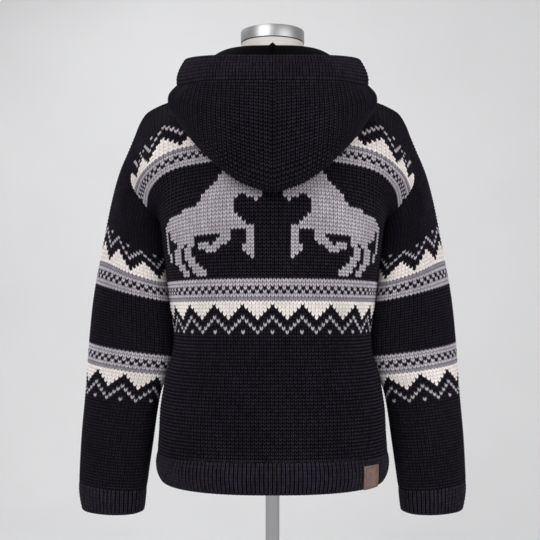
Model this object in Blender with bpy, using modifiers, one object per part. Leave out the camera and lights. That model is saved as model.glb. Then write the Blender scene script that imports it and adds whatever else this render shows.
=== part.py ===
"""Hooded knitted wool jacket on a limbless dress form with a pole and a round base.

Metres, +Z up, the jacket's front faces -Y. Every cloth piece is a wall whose outer points
come from short tables of sections; the inner points lie one wall thickness further in.
"""
import math

import bmesh
import bpy
import numpy as np
from mathutils import Matrix

# Driving sizes
WALL = 0.004
RIB_WALL = 0.0045
RIB_RISE = 0.0012
BRIM_WALLS = (0.0028, 0.0034, 0.0045, 0.0045)
SEAM = 0.0004
FRONT_EDGE = 0.0065
TAPE_WALL = 0.0016
TAPE_WIDTH = 0.017
TAPE_MIDDLE = 0.0010
NECK_COLUMNS = 4
SHOULDER_COLUMNS = 7
LOW_ROWS = 9
HIGH_ROWS = 10
SLEEVE_ROWS = 14
HOOD_COLUMNS = 3 * NECK_COLUMNS
HOOD_ROWS = 15
HEM_RIBS = 40
CUFF_RIBS = 22
BRIM_RIBS = 24
SAMPLES = 33
NECK_SHARE = 1.0 / 3.0
BASE_RADIUS = 0.18
BASE_THICKNESS = 0.008
HUB_RADIUS = 0.021
HUB_TOP = 0.045
POLE_RADIUS = 0.012
FLANGE_RADIUS = 0.05
FORM_BOTTOM = 0.80
NECK_TOP = 1.4976
CAP_RADIUS = 0.0546
CAP_TOP = 1.5194
TURN_STEPS = 48
FORM_COLUMNS = 32
FORM_LOW_ROWS = 11
FORM_SHOULDER = 1.30
FORM_NECK = 1.44

# Label: its edges across, and its rows counted in hem sections
LABEL_NEAR = -0.143
LABEL_FAR = -0.170
LABEL_ROWS = (0.6, 1.4, 2.2, 2.95)
LABEL_OUTSIDE = 0.0022
LABEL_INSIDE = 0.0004
LABEL_CLEAR = 0.0018

# Easings that keep pieces clear of each other where they meet
HEM_EASE = (0.0, 1.0, 1.0, 0.5)
BRIM_EASE = (0.0, 1.0, 1.0, 0.3)
BRIM_SWELL = (0.0035, 0.0040)
TAPE_TOP_BACK = 0.0016
TAPE_FOOT_RISE = 0.002
TAPE_JOIN = 0.0002

# Body below the underarm: height at the side, half width, depth behind, depth in front,
# rise of the row towards the middle
BODY_SECTIONS = [
    (0.8060, 0.1945, 0.1450, 0.1400, 0.004),
    (0.8300, 0.1925, 0.1460, 0.1405, 0.004),
    (0.8850, 0.1890, 0.1475, 0.1415, 0.004),
    (0.9310, 0.1797, 0.1480, 0.1425, 0.004),
    (0.9750, 0.1665, 0.1480, 0.1430, 0.005),
    (1.0154, 0.1648, 0.1480, 0.1440, 0.005),
    (1.0515, 0.1700, 0.1485, 0.1460, 0.006),
    (1.0997, 0.1755, 0.1495, 0.1480, 0.008),
    (1.1478, 0.1810, 0.1505, 0.1490, 0.016),
    (1.1850, 0.1855, 0.1500, 0.1480, 0.0265),
]
SQUARENESS = 2.5

# Rows above the underarm: points from the middle to the armhole edge
BACK_ROWS = [
    [(0, 0.146, 1.268), (0.100, 0.136, 1.264), (0.172, 0.094, 1.250), (0.2090, 0.043, 1.213)],
    [(0, 0.139, 1.310), (0.100, 0.129, 1.307), (0.178, 0.094, 1.292), (0.2335, 0.058, 1.252)],
    [(0, 0.117, 1.355), (0.100, 0.108, 1.356), (0.172, 0.080, 1.347), (0.2290, 0.043, 1.302)],
]
FRONT_ROWS = [
    [(0, -0.140, 1.255), (0.100, -0.132, 1.252), (0.172, -0.092, 1.238), (0.2090, -0.043, 1.213)],
    [(0, -0.128, 1.288), (0.100, -0.118, 1.294), (0.174, -0.088, 1.285), (0.2335, -0.058, 1.252)],
    [(0, -0.112, 1.318), (0.095, -0.098, 1.337), (0.166, -0.074, 1.340), (0.2290, -0.043, 1.302)],
]
SHOULDER_SEAM = [(0.075, 0.012, 1.424), (0.115, 0.003, 1.416), (0.160, -0.002, 1.405),
                 (0.200, -0.002, 1.390), (0.2165, -0.002, 1.380), (0.228, -0.002, 1.363),
                 (0.238, -0.002, 1.338)]
BACK_NECK = [(0, 0.062, 1.403), (0.045, 0.043, 1.412), (0.075, 0.012, 1.424)]
FRONT_NECK = [(0, -0.096, 1.345), (0.042, -0.078, 1.366), (0.066, -0.040, 1.397),
              (0.075, 0.012, 1.424)]
HIGH_STEPS = (0.0565, 0.103, 0.1555, 0.2128)

# Sleeve rings below the armhole: inner side, back inner, back, back outer, outer side
SLEEVE_RINGS = [
    [(0.1900, 0.004, 1.160), (0.216, 0.047, 1.178), (0.247, 0.056, 1.212), (0.256, 0.036, 1.258),
     (0.259, -0.006, 1.286)],
    [(0.1885, 0.009, 1.130), (0.209, 0.050, 1.138), (0.243, 0.058, 1.163), (0.266, 0.034, 1.203),
     (0.277, -0.010, 1.228)],
    [(0.1840, 0.014, 1.098), (0.199, 0.055, 1.103), (0.239, 0.061, 1.120), (0.274, 0.030, 1.142),
     (0.2935, -0.014, 1.150)],
    [(0.1765, 0.018, 1.046), (0.189, 0.054, 1.050), (0.2407, 0.058, 1.0605),
     (0.2880, 0.0275, 1.0707), (0.3080, -0.016, 1.075)],
    [(0.1695, 0.016, 0.972), (0.182, 0.049, 0.975), (0.2422, 0.052, 0.9815), (0.2960, 0.022, 0.988),
     (0.3183, -0.020, 0.991)],
    [(0.1905, 0.010, 0.905), (0.205, 0.042, 0.906), (0.2538, 0.044, 0.9095), (0.3035, 0.0163, 0.913),
     (0.3243, -0.024, 0.914)],
    [(0.2065, 0.003, 0.808), (0.2235, 0.033, 0.809), (0.2680, 0.036, 0.812),
     (0.3143, 0.0113, 0.815), (0.3335, -0.027, 0.816)],
    [(0.2172, -0.003, 0.737), (0.2342, 0.025, 0.738), (0.2760, 0.029, 0.7405),
     (0.3190, 0.0066, 0.743), (0.3378, -0.029, 0.7435)],
]
CUFF_RINGS = [
    [(0.2175, -0.003, 0.7362), (0.2345, 0.025, 0.7372), (0.2760, 0.029, 0.7397),
     (0.3190, 0.0066, 0.7422), (0.3378, -0.029, 0.7427)],
    [(0.2190, -0.004, 0.720), (0.2355, 0.025, 0.721), (0.2765, 0.029, 0.7225),
     (0.3195, 0.006, 0.724), (0.3380, -0.030, 0.7245)],
    [(0.2220, -0.006, 0.6965), (0.2380, 0.021, 0.6955), (0.2765, 0.025, 0.695),
     (0.3170, 0.003, 0.694), (0.3335, -0.031, 0.6935)],
]

# Hem rib: height at the side, half width, depth behind, depth in front, rise to the middle
HEM_SECTIONS = [
    (0.8056, 0.1945, 0.1450, 0.1400, 0.004),
    (0.7880, 0.1972, 0.1490, 0.1430, 0.003),
    (0.7720, 0.1950, 0.1485, 0.1425, 0.001),
    (0.7590, 0.1890, 0.1450, 0.1400, 0.000),
]

# Hood: a row per station from the middle of the back to the front edge. Points run from the
# neck seam over the stand, down to the lowest fold and up the outer layer to the brim seam
HOOD_STATIONS = [
    [(0, 0.0602, 1.4045), (0, 0.070, 1.474), (0, 0.099, 1.430), (0, 0.1385, 1.330),
     (0, 0.166, 1.229), (0, 0.190, 1.266), (0, 0.198, 1.335), (0, 0.184, 1.398)],
    [(0.045, 0.0425, 1.4135), (0.045, 0.060, 1.4755), (0.052, 0.097, 1.430), (0.055, 0.1365, 1.338),
     (0.051, 0.162, 1.247), (0.054, 0.187, 1.285), (0.056, 0.195, 1.345), (0.055, 0.181, 1.398)],
    [(0.0742, 0.0125, 1.4258), (0.078, 0.034, 1.476), (0.092, 0.084, 1.428),
     (0.100, 0.124, 1.352), (0.101, 0.150, 1.287), (0.106, 0.171, 1.315), (0.108, 0.178, 1.358),
     (0.103, 0.165, 1.400)],
    [(0.0738, -0.014, 1.4160), (0.097, 0.004, 1.469), (0.118, 0.052, 1.432),
     (0.134, 0.092, 1.376), (0.139, 0.116, 1.335), (0.149, 0.131, 1.350), (0.152, 0.132, 1.376),
     (0.139, 0.124, 1.403)],
    [(0.0655, -0.0405, 1.3985), (0.098, -0.030, 1.452), (0.122, 0.000, 1.443),
     (0.144, 0.036, 1.418), (0.158, 0.062, 1.388), (0.167, 0.076, 1.385), (0.166, 0.080, 1.398),
     (0.155, 0.079, 1.411)],
    [(0.0500, -0.0700, 1.3775), (0.074, -0.072, 1.420), (0.090, -0.062, 1.433),
     (0.106, -0.050, 1.436), (0.119, -0.041, 1.429), (0.129, -0.034, 1.426), (0.136, -0.029, 1.431),
     (0.137, -0.026, 1.441)],
    [(0.0280, -0.0870, 1.3590), (0.040, -0.095, 1.382), (0.050, -0.099, 1.396),
     (0.060, -0.100, 1.405), (0.069, -0.098, 1.411), (0.077, -0.095, 1.416), (0.083, -0.091, 1.421),
     (0.087, -0.087, 1.428)],
    [(0.0065, -0.0962, 1.3465), (0.010, -0.104, 1.356), (0.012, -0.110, 1.364),
     (0.014, -0.115, 1.371), (0.016, -0.119, 1.377), (0.018, -0.122, 1.384), (0.0195, -0.124, 1.391),
     (0.021, -0.125, 1.398)],
]
BRIM_TOPS = [(0, 0.177, 1.437), (0.052, 0.174, 1.438), (0.098, 0.158, 1.441), (0.132, 0.118, 1.447),
             (0.1425, 0.074, 1.452), (0.128, -0.031, 1.477), (0.081, -0.083, 1.465),
             (0.020, -0.120, 1.436)]

# Form: height, half width, depth behind, depth in front, squareness
FORM_SECTIONS = [
    (0.800, 0.1680, 0.1300, 0.1150, 2.4),
    (0.880, 0.1700, 0.1330, 0.1150, 2.4),
    (0.960, 0.1540, 0.1200, 0.1080, 2.3),
    (1.015, 0.1400, 0.1150, 0.1080, 2.2),
    (1.100, 0.1520, 0.1280, 0.1220, 2.2),
    (1.185, 0.1640, 0.1340, 0.1330, 2.2),
    (1.250, 0.1650, 0.1290, 0.1180, 2.3),
    (1.300, 0.1640, 0.1140, 0.1010, 2.3),
    (1.335, 0.1580, 0.0900, 0.0740, 2.2),
    (1.360, 0.1440, 0.0680, 0.0530, 2.1),
    (1.380, 0.1160, 0.0530, 0.0360, 2.0),
    (1.396, 0.0860, 0.0450, 0.0310, 2.0),
    (1.410, 0.0640, 0.0420, 0.0370, 2.0),
    (1.424, 0.0545, 0.0440, 0.0430, 2.0),
    (1.440, 0.0530, 0.0480, 0.0490, 2.0),
    (1.470, 0.0530, 0.0530, 0.0530, 2.0),
    (NECK_TOP, 0.0535, 0.0535, 0.0535, 2.0),
]

# Zip slider and tab, in the slider's own frame: X across, Y out of the cloth, Z along the zip
SLIDER_SIZE = (0.0080, 0.0052, 0.0120)
SLIDER_OUT = 0.0004
LUG_SIZE = (0.0014, 0.0062, 0.0044)
LUG_SPREAD = 0.0025
PIN_RADIUS = 0.0007
EYE_RADIUS = 0.0012
TAB_SIZE = (0.0028, 0.0016, 0.0260)
PIN_OUT = 0.0086
PIN_UP = 0.003
LUG_SINK = 0.4
HEAD_RADIUS = 0.0022
EYE_REACH = 0.02
SLIDER_AT = 0.955


def clear_scene():
    """Remove every object and collection that the file starts with."""
    for item in list(bpy.data.objects):
        bpy.data.objects.remove(item, do_unlink=True)
    for group in list(bpy.data.collections):
        bpy.data.collections.remove(group)


def spline(knots, values, at):
    """Smooth curve through rows of values: cubic pieces with slopes from the neighbours."""
    knots = np.asarray(knots, float)
    values = np.asarray(values, float)
    at = np.atleast_1d(np.asarray(at, float))
    steps = np.diff(knots)
    chords = np.diff(values, axis=0) / steps.reshape((-1,) + (1,) * (values.ndim - 1))
    slopes = np.empty_like(values)
    slopes[0] = chords[0]
    slopes[-1] = chords[-1]
    for k in range(1, len(knots) - 1):
        before, after = steps[k - 1], steps[k]
        slopes[k] = (chords[k - 1] * after + chords[k] * before) / (before + after)
    cell = np.clip(np.searchsorted(knots, at, side="right") - 1, 0, len(knots) - 2)
    shape = (-1,) + (1,) * (values.ndim - 1)
    span = steps[cell].reshape(shape)
    x = ((at - knots[cell]) / steps[cell]).reshape(shape)
    start = values[cell] * (2 * x ** 3 - 3 * x ** 2 + 1)
    start += slopes[cell] * span * (x ** 3 - 2 * x ** 2 + x)
    end = values[cell + 1] * (3 * x ** 2 - 2 * x ** 3)
    end += slopes[cell + 1] * span * (x ** 3 - x ** 2)
    return start + end


def lengths(points):
    """Running length along a chain of points."""
    steps = np.linalg.norm(np.diff(points, axis=0), axis=1)
    return np.concatenate([[0.0], np.cumsum(steps)])


def even_chain(points, count):
    """The chain through the points, resampled at even steps of its own length."""
    points = np.asarray(points, float)
    fine = spline(lengths(points), points, np.linspace(0, lengths(points)[-1], 160))
    run = lengths(fine)
    at = np.linspace(0, run[-1], count)
    return np.stack([np.interp(at, run, fine[:, k]) for k in range(3)], axis=1)


def quarter(section, front):
    """A quarter of a body section, from the middle of the back or front to the side."""
    height, width, back, fore, rise = section
    depth = -fore if front else back
    angle = np.linspace(0, math.pi / 2, 120)
    power = 2.0 / SQUARENESS
    x = width * np.sin(angle) ** power
    y = depth * np.cos(angle) ** power
    z = height + rise * np.cos(angle) ** 1.5
    return even_chain(np.stack([x, y, z], axis=1), SAMPLES)


def top_row(neck):
    """The panel's last row: the neck line and then the shoulder seam."""
    inner = int(round(NECK_SHARE * (SAMPLES - 1)))
    first = even_chain(neck, inner + 1)
    second = even_chain(SHOULDER_SEAM, SAMPLES - inner)
    return np.concatenate([first, second[1:]])


def body_table(front):
    """Rows of the half panel by their height in the cloth: knots and points."""
    rows = [quarter(section, front) for section in BODY_SECTIONS]
    side = np.array([[s[0], s[1]] for s in BODY_SECTIONS])
    run = list(lengths(side))
    for row in (FRONT_ROWS if front else BACK_ROWS):
        rows.append(even_chain(row, SAMPLES))
    rows.append(top_row(FRONT_NECK if front else BACK_NECK))
    run += [run[-1] + step for step in HIGH_STEPS]
    return np.array(run), np.array(rows)


def panel_grid(table, heights, shares):
    """Outer points and outward directions of a half panel at heights and shares across."""
    run, rows = table
    count = rows.shape[1]
    at_rows = spline(run, rows, heights)
    across = np.linspace(0, 1, count)
    points = np.stack([spline(across, row, shares) for row in at_rows])
    small = 1e-4
    up = spline(run, rows, np.minimum(heights + small, run[-1]))
    down = spline(run, rows, np.maximum(heights - small, 0))
    along = np.stack([spline(across, row, shares) for row in up - down])
    side = np.stack([spline(across, row, np.minimum(shares + small, 1))
                     - spline(across, row, np.maximum(shares - small, 0)) for row in at_rows])
    out = np.cross(side, along)
    out /= np.linalg.norm(out, axis=2, keepdims=True)
    return points, out


def mesh_object(name, corners, faces, group):
    """An object from corner points and faces, with its faces turned outward."""
    mesh = bpy.data.meshes.new(name)
    mesh.from_pydata([tuple(float(v) for v in p) for p in corners], [], faces)
    form = bmesh.new()
    form.from_mesh(mesh)
    bmesh.ops.recalc_face_normals(form, faces=form.faces)
    form.to_mesh(mesh)
    form.free()
    item = bpy.data.objects.new(name, mesh)
    group.objects.link(item)
    for face in mesh.polygons:
        face.use_smooth = True
    return item


def wall_object(name, outer, inner, group, around=False):
    """A closed wall between two grids of points of the same size."""
    rows, columns = outer.shape[:2]
    corners = list(outer.reshape(-1, 3)) + list(inner.reshape(-1, 3))
    half = rows * columns
    faces = []
    turns = columns if around else columns - 1
    for r in range(rows - 1):
        for c in range(turns):
            n = (c + 1) % columns
            a, b = r * columns + c, r * columns + n
            d, e = (r + 1) * columns + c, (r + 1) * columns + n
            faces.append((a, b, e, d))
            faces.append((half + a, half + d, half + e, half + b))
    for r in (0, rows - 1):
        for c in range(turns):
            n = (c + 1) % columns
            a, b = r * columns + c, r * columns + n
            faces.append((a, half + a, half + b, b))
    if not around:
        for c in (0, columns - 1):
            for r in range(rows - 1):
                a, b = r * columns + c, (r + 1) * columns + c
                faces.append((a, b, half + b, half + a))
    return mesh_object(name, corners, faces, group)


def ribbed_object(name, outer, inner, group, around=False):
    """A wall with a fine ribbed outside and a plain inside of a quarter of the columns."""
    rows, columns = outer.shape[:2]
    plain = inner[:, ::4]
    plain_columns = plain.shape[1]
    corners = list(outer.reshape(-1, 3)) + list(plain.reshape(-1, 3))
    half = rows * columns
    faces = []
    turns = columns if around else columns - 1
    for r in range(rows - 1):
        for c in range(turns):
            n = (c + 1) % columns
            a, b = r * columns + c, r * columns + n
            d, e = (r + 1) * columns + c, (r + 1) * columns + n
            faces.append((a, b, e, d))
        for c in range(plain_columns if around else plain_columns - 1):
            n = (c + 1) % plain_columns
            a, b = half + r * plain_columns + c, half + r * plain_columns + n
            d, e = half + (r + 1) * plain_columns + c, half + (r + 1) * plain_columns + n
            faces.append((a, d, e, b))
    for r in (0, rows - 1):
        for c in range(plain_columns if around else plain_columns - 1):
            n = (c + 1) % plain_columns
            a, b = half + r * plain_columns + c, half + r * plain_columns + n
            chain = [r * columns + (4 * c + k) % columns for k in range(5)]
            faces.append((chain[0], a, chain[1]))
            faces.append((chain[1], a, chain[2]))
            faces.append((a, b, chain[2]))
            faces.append((chain[2], b, chain[3]))
            faces.append((chain[3], b, chain[4]))
    if not around:
        for c, p in ((0, 0), (columns - 1, plain_columns - 1)):
            for r in range(rows - 1):
                a, b = r * columns + c, (r + 1) * columns + c
                d = half + r * plain_columns + p
                faces.append((a, b, d + plain_columns, d))
    return mesh_object(name, corners, faces, group)


def mirrored(grid):
    """The same points on the other side of the middle plane."""
    return grid * np.array([-1.0, 1.0, 1.0])


def body_heights(table):
    """Heights of the panel's rows: even below the underarm, closer above, kept off the seams."""
    run = table[0]
    underarm = run[len(BODY_SECTIONS) - 1]
    low = np.linspace(0.0, underarm, LOW_ROWS)
    high = np.linspace(underarm, run[-1] - 0.5 * SEAM, HIGH_ROWS + 1)[1:]
    return np.concatenate([low, high])


def body_shares(table, start=0.0):
    """Shares across the half panel, kept half a seam off its outer edge."""
    width = lengths(table[1][0])[-1]
    inner = np.linspace(start / width, NECK_SHARE, NECK_COLUMNS + 1)
    outer = np.linspace(NECK_SHARE, 1.0 - 0.5 * SEAM / width, SHOULDER_COLUMNS + 1)
    return np.concatenate([inner, outer[1:]])


def straighten_seam(out):
    """Turn the shoulder seam's outward directions into the seam's own plane."""
    out[-1, NECK_COLUMNS:, 1] = 0.0
    out[-1] /= np.linalg.norm(out[-1], axis=1, keepdims=True)
    return out


def blended(first, second):
    """Shared directions of two pieces at a seam; each keeps its own where they face apart."""
    dot = np.sum(first * second, axis=1, keepdims=True)
    weight = np.clip((dot + 0.1) / 0.4, 0.0, 1.0) * 0.5
    mixed = (1.0 - weight) * first + weight * second
    return mixed / np.linalg.norm(mixed, axis=1, keepdims=True)


def back_half():
    """Outer points and directions of the back's left half."""
    table = body_table(False)
    points, out = panel_grid(table, body_heights(table), body_shares(table))
    out[:, 0, 0] = 0.0
    out = straighten_seam(-out)
    points[-1, NECK_COLUMNS:, 1] += 0.5 * SEAM
    return points, out


def build_back(group, sleeve_out):
    """The whole back panel with its two drop shoulders."""
    points, out = back_half()
    edge = slice(LOW_ROWS - 1, None)
    out[edge, -1] = blended(out[edge, -1], sleeve_out[:HIGH_ROWS + 1])
    inner = points - WALL * out
    outer_all = np.concatenate([mirrored(points)[:, :0:-1], points], axis=1)
    inner_all = np.concatenate([mirrored(inner)[:, :0:-1], inner], axis=1)
    return wall_object("back", outer_all, inner_all, group)


def front_half(start):
    """Outer points and directions of the left front, from a set distance off the middle."""
    table = body_table(True)
    points, out = panel_grid(table, body_heights(table), body_shares(table, start))
    out = straighten_seam(out)
    points[-1, NECK_COLUMNS:, 1] -= 0.5 * SEAM
    return points, out


def build_fronts(group, sleeve_out):
    """The two front panels, open along the middle."""
    points, out = front_half(FRONT_EDGE)
    edge = slice(LOW_ROWS - 1, None)
    order = -np.arange(HIGH_ROWS + 1) % (2 * HIGH_ROWS)
    out[edge, -1] = blended(out[edge, -1], sleeve_out[order])
    inner = points - WALL * out
    wall_object("front_left", points, inner, group)
    wall_object("front_right", mirrored(points), mirrored(inner), group)


def full_ring(half, columns):
    """A closed ring from five points on its back half; the front half mirrors the back."""
    half = np.asarray(half, float)
    middle = 0.5 * (half[0, 1] + half[4, 1])
    swing = 0.5 * (half[0, 1] - half[4, 1])
    ring = [half[k] for k in range(5)]
    for k in (3, 2, 1):
        level = middle + math.cos(math.pi * k / 4) * swing
        ring.append(np.array([half[k, 0], 2 * level - half[k, 1], half[k, 2]]))
    ring = np.array(ring)
    closed = np.concatenate([ring[-2:], ring, ring[:3]])
    knots = np.arange(-2, 11)
    fine = spline(knots, closed, np.linspace(0, 8, 321))
    run = lengths(fine)
    at = np.linspace(0, run[-1], columns + 1)[:-1]
    return np.stack([np.interp(at, run, fine[:, k]) for k in range(3)], axis=1)


def armhole_loop():
    """The armhole seam: points and the panels' directions, up the back and down the front."""
    back, back_out = back_half()
    front, front_out = front_half(FRONT_EDGE)
    first = LOW_ROWS - 1
    points = np.concatenate([back[first:, -1], front[-2:first:-1, -1]])
    points[HIGH_ROWS, 1] -= 0.5 * SEAM
    points[0, 1] -= 0.5 * SEAM
    out = np.concatenate([back_out[first:, -1], front_out[-2:first:-1, -1]])
    return points, out


def tube_grid(table, shares):
    """Outer points and outward directions of a tube through rings of points."""
    knots = lengths(table.mean(axis=1))
    heights = knots[-1] * shares
    points = spline(knots, table, heights)
    small = 1e-4
    along = spline(knots, table, np.minimum(heights + small, knots[-1]))
    along = along - spline(knots, table, np.maximum(heights - small, 0))
    side = np.roll(points, -1, axis=1) - np.roll(points, 1, axis=1)
    out = np.cross(along, side)
    out /= np.linalg.norm(out, axis=2, keepdims=True)
    centre = points.mean(axis=1, keepdims=True)
    flip = np.sign(np.sum(out * (points - centre), axis=2).mean())
    return points, out * flip


def sleeve_grid():
    """Outer points, directions and the sleeve's own directions at the armhole."""
    seam, panel_out = armhole_loop()
    columns = len(seam)
    rings = [seam] + [full_ring(ring, columns) for ring in SLEEVE_RINGS]
    shares = np.linspace(0.0, 1.0, SLEEVE_ROWS + 1) ** 1.15
    points, out = tube_grid(np.array(rings), shares)
    own = out[0].copy()
    step = points[1] - points[0]
    points[0] += 1.6 * SEAM * step / np.linalg.norm(step, axis=1, keepdims=True)
    points[0] -= 1.5 * SEAM * own
    out[0] = blended(own, panel_out)
    return points, out, own


def build_sleeves(group):
    """The two sleeves, from the armhole seam to the cuff seam."""
    points, out, own = sleeve_grid()
    inner = points - WALL * out
    wall_object("sleeve_left", points, inner, group, around=True)
    wall_object("sleeve_right", mirrored(points), mirrored(inner), group, around=True)


def rib_heights(count, around):
    """Rise of each fine column: high on the ribs, none in the grooves."""
    pattern = np.tile([1.0, 1.0, 0.0, 0.0], count)
    if around:
        return pattern
    return np.append(pattern, 1.0)


def build_cuffs(group):
    """The two ribbed cuffs."""
    columns = 4 * CUFF_RIBS
    table = np.array([full_ring(ring, columns) for ring in CUFF_RINGS])
    points, out = tube_grid(table, np.array([0.0, 0.4, 0.78, 1.0]))
    ribs = rib_heights(CUFF_RIBS, True)[None, :, None] * RIB_RISE
    ribs = ribs * np.array(HEM_EASE)[:, None, None]
    inner = points - RIB_WALL * out
    outer = points + ribs * out
    ribbed_object("cuff_left", outer, inner, group, around=True)
    ribbed_object("cuff_right", mirrored(outer), mirrored(inner), group, around=True)


def hem_grid(start):
    """Outer points and directions of half the hem, from the front opening to the back middle."""
    rows = []
    for section in HEM_SECTIONS:
        back = quarter(section, False)
        front = quarter(section, True)
        whole = np.concatenate([front, back[-2::-1]])
        run = lengths(whole)
        at = np.linspace(start, run[-1], 2 * HEM_RIBS + 1)
        rows.append(np.stack([np.interp(at, run, whole[:, k]) for k in range(3)], axis=1))
    points = np.array(rows)
    along = np.gradient(points, axis=0)
    side = np.gradient(points, axis=1)
    side[:, -1, 1:] = 0.0
    out = np.cross(along, side)
    out /= np.linalg.norm(out, axis=2, keepdims=True)
    out[:, -1, 0] = 0.0
    return points, out


def build_hem(group):
    """The hem rib, one strip round the body, open at the zip."""
    half, out = hem_grid(FRONT_EDGE)
    if np.sum(out[1, :, 0] * half[1, :, 0]) < 0:
        out = -out
    points = np.concatenate([half, mirrored(half)[:, -2::-1]], axis=1)
    out = np.concatenate([out, mirrored(out)[:, -2::-1]], axis=1)
    ribs = rib_heights(HEM_RIBS, False)[None, :, None] * RIB_RISE
    ribs = ribs * np.array(HEM_EASE)[:, None, None]
    ribbed_object("hem_rib", points + ribs * out, points - RIB_WALL * out, group)
    return points + LABEL_CLEAR * out, out


def build_label(group, hem_points, hem_out):
    """The bare leather patch on the hem rib, made from the rib's own points moved out."""
    x = hem_points[1, :, 0]
    behind = hem_points[1, :, 1] > 0
    pick = np.where(behind & (x < LABEL_NEAR) & (x > LABEL_FAR))[0]
    knots = np.arange(len(HEM_SECTIONS))
    rows = spline(knots, hem_points, LABEL_ROWS)[:, pick[::2]]
    out = spline(knots, hem_out, LABEL_ROWS)[:, pick[::2]]
    out /= np.linalg.norm(out, axis=2, keepdims=True)
    wall_object("label", rows + LABEL_OUTSIDE * out, rows + LABEL_INSIDE * out, group)


def hood_table():
    """Hood stations resampled: an array of station, point along the profile, xyz."""
    stations = []
    for station in HOOD_STATIONS:
        station = np.array(station, float)
        stations.append(spline(np.arange(8), station, np.linspace(0, 7, HOOD_ROWS + 1)))
    return np.array(stations)


def hood_grid():
    """Outer points and outward directions of the left hood half."""
    table = hood_table()
    knots = np.arange(8)
    behind_neck = np.linspace(0, 2, NECK_COLUMNS + 1)
    before_neck = np.linspace(2, 7, 2 * NECK_COLUMNS + 1)
    at = np.concatenate([behind_neck, before_neck[1:]])
    points = spline(knots, table, at)
    behind = back_half()[0][-1, :NECK_COLUMNS + 1]
    before = front_half(FRONT_EDGE)[0][-1, NECK_COLUMNS::-1]
    between = 0.5 * (before[1:] + before[:-1])
    before = np.stack([between, before[1:]], axis=1).reshape(-1, 3)
    neck = np.concatenate([behind, before])
    rise = points[:, 1] - neck
    rise /= np.linalg.norm(rise, axis=1, keepdims=True)
    lift = np.where(np.arange(HOOD_COLUMNS + 1) < NECK_COLUMNS, 1.1, 2.6)[:, None]
    points[:, 0] = neck + lift * SEAM * rise
    along = np.gradient(points, axis=1)
    side = np.gradient(points, axis=0)
    side[0] = np.array([1.0, 0.0, 0.0])
    out = np.cross(along, side)
    out /= np.linalg.norm(out, axis=2, keepdims=True)
    if out[0, -3, 1] < 0:
        out = -out
    points[0, :, 0] = 0.5 * SEAM
    return points, out


def build_hood(group):
    """The two hood halves, joined in a seam along the middle of the back."""
    points, out = hood_grid()
    inner = points - WALL * out
    inner[0, :, 0] = 0.5 * SEAM
    wall_object("hood_left", points, inner, group)
    wall_object("hood_right", mirrored(points), mirrored(inner), group)


def build_brim(group):
    """The ribbed brim: one strip along the hood's edge."""
    hood, hood_out = hood_grid()
    hood[0, :, 0] = 0.0
    columns = np.arange(HOOD_COLUMNS + 1)
    at = np.linspace(0, HOOD_COLUMNS, 2 * BRIM_RIBS + 1)
    low = np.stack([np.interp(at, columns, hood[:, -1, k]) for k in range(3)], axis=1)
    seam_out = np.stack([np.interp(at, columns, hood_out[:, -1, k]) for k in range(3)], axis=1)
    seam_out /= np.linalg.norm(seam_out, axis=1, keepdims=True)
    last = hood[:, -1] - hood[:, -2]
    last = np.stack([np.interp(at, columns, last[:, k]) for k in range(3)], axis=1)
    last /= np.linalg.norm(last, axis=1, keepdims=True)
    station = np.interp(at, [0, NECK_COLUMNS, HOOD_COLUMNS], [0, 2, 7])
    top = spline(np.arange(8), np.array(BRIM_TOPS, float), station)
    up = top - low
    up /= np.linalg.norm(up, axis=1, keepdims=True)
    side = np.gradient(low, axis=0)
    side[0] = np.array([1.0, 0.0, 0.0])
    out = np.cross(up, side)
    out /= np.linalg.norm(out, axis=1, keepdims=True)
    if out[0, 1] < 0:
        out = -out
    start = low + 2.0 * SEAM * last
    quarter_up = 0.75 * start + 0.25 * top + BRIM_SWELL[0] * out
    middle = 0.5 * (low + top) + BRIM_SWELL[1] * out
    rows = np.stack([start, quarter_up, middle, top])
    both = np.concatenate([mirrored(rows)[:, :0:-1], rows], axis=1)
    easing = seam_out + out
    easing /= np.linalg.norm(easing, axis=1, keepdims=True)
    outs = np.stack([seam_out, easing, out, out])
    outs = np.concatenate([mirrored(outs)[:, :0:-1], outs], axis=1)
    ribs = rib_heights(BRIM_RIBS, False)[None, :, None] * RIB_RISE
    ribs = ribs * np.array(BRIM_EASE)[:, None, None]
    depth = np.array(BRIM_WALLS)[:, None, None]
    ribbed_object("hood_brim", both + ribs * outs, both - depth * outs, group)


def build_tapes(group):
    """The two zip tapes behind the front edges, from the hem's foot to the neck."""
    table = body_table(True)
    heights = body_heights(table)[:-1]
    heights[0] += TAPE_JOIN
    across = TAPE_MIDDLE + TAPE_WIDTH * np.linspace(0, 1, 3)
    rows, out = panel_grid(table, heights, across / lengths(table[1][0])[-1])
    front = rows - (WALL + 1.6 * SEAM) * out
    front[-1] -= TAPE_TOP_BACK * out[-1]
    low = []
    for section in HEM_SECTIONS[:0:-1]:
        chain = quarter(section, True)
        run = lengths(chain)
        low.append(np.stack([np.interp(across, run, chain[:, k]) for k in range(3)], axis=1))
    low = np.array(low)
    low[0, :, 2] += TAPE_FOOT_RISE
    low_out = np.repeat(out[:1], len(low), axis=0)
    front[0] = rows[0] - (RIB_WALL + 1.6 * SEAM) * out[0]
    front = np.concatenate([low - (RIB_WALL + 1.6 * SEAM) * low_out, front])
    inner = front - TAPE_WALL * np.concatenate([low_out, out])
    wall_object("zip_tape_left", front, inner, group)
    wall_object("zip_tape_right", mirrored(front), mirrored(inner), group)
    return front


def shade_material(item, colour, roughness, metallic=0.0):
    """Give an object its own plain material."""
    material = bpy.data.materials.new(item.name)
    material.use_nodes = True
    shader = material.node_tree.nodes["Principled BSDF"]
    shader.inputs["Base Color"].default_value = (*colour, 1.0)
    shader.inputs["Roughness"].default_value = roughness
    shader.inputs["Metallic"].default_value = metallic
    item.data.materials.append(material)


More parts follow.
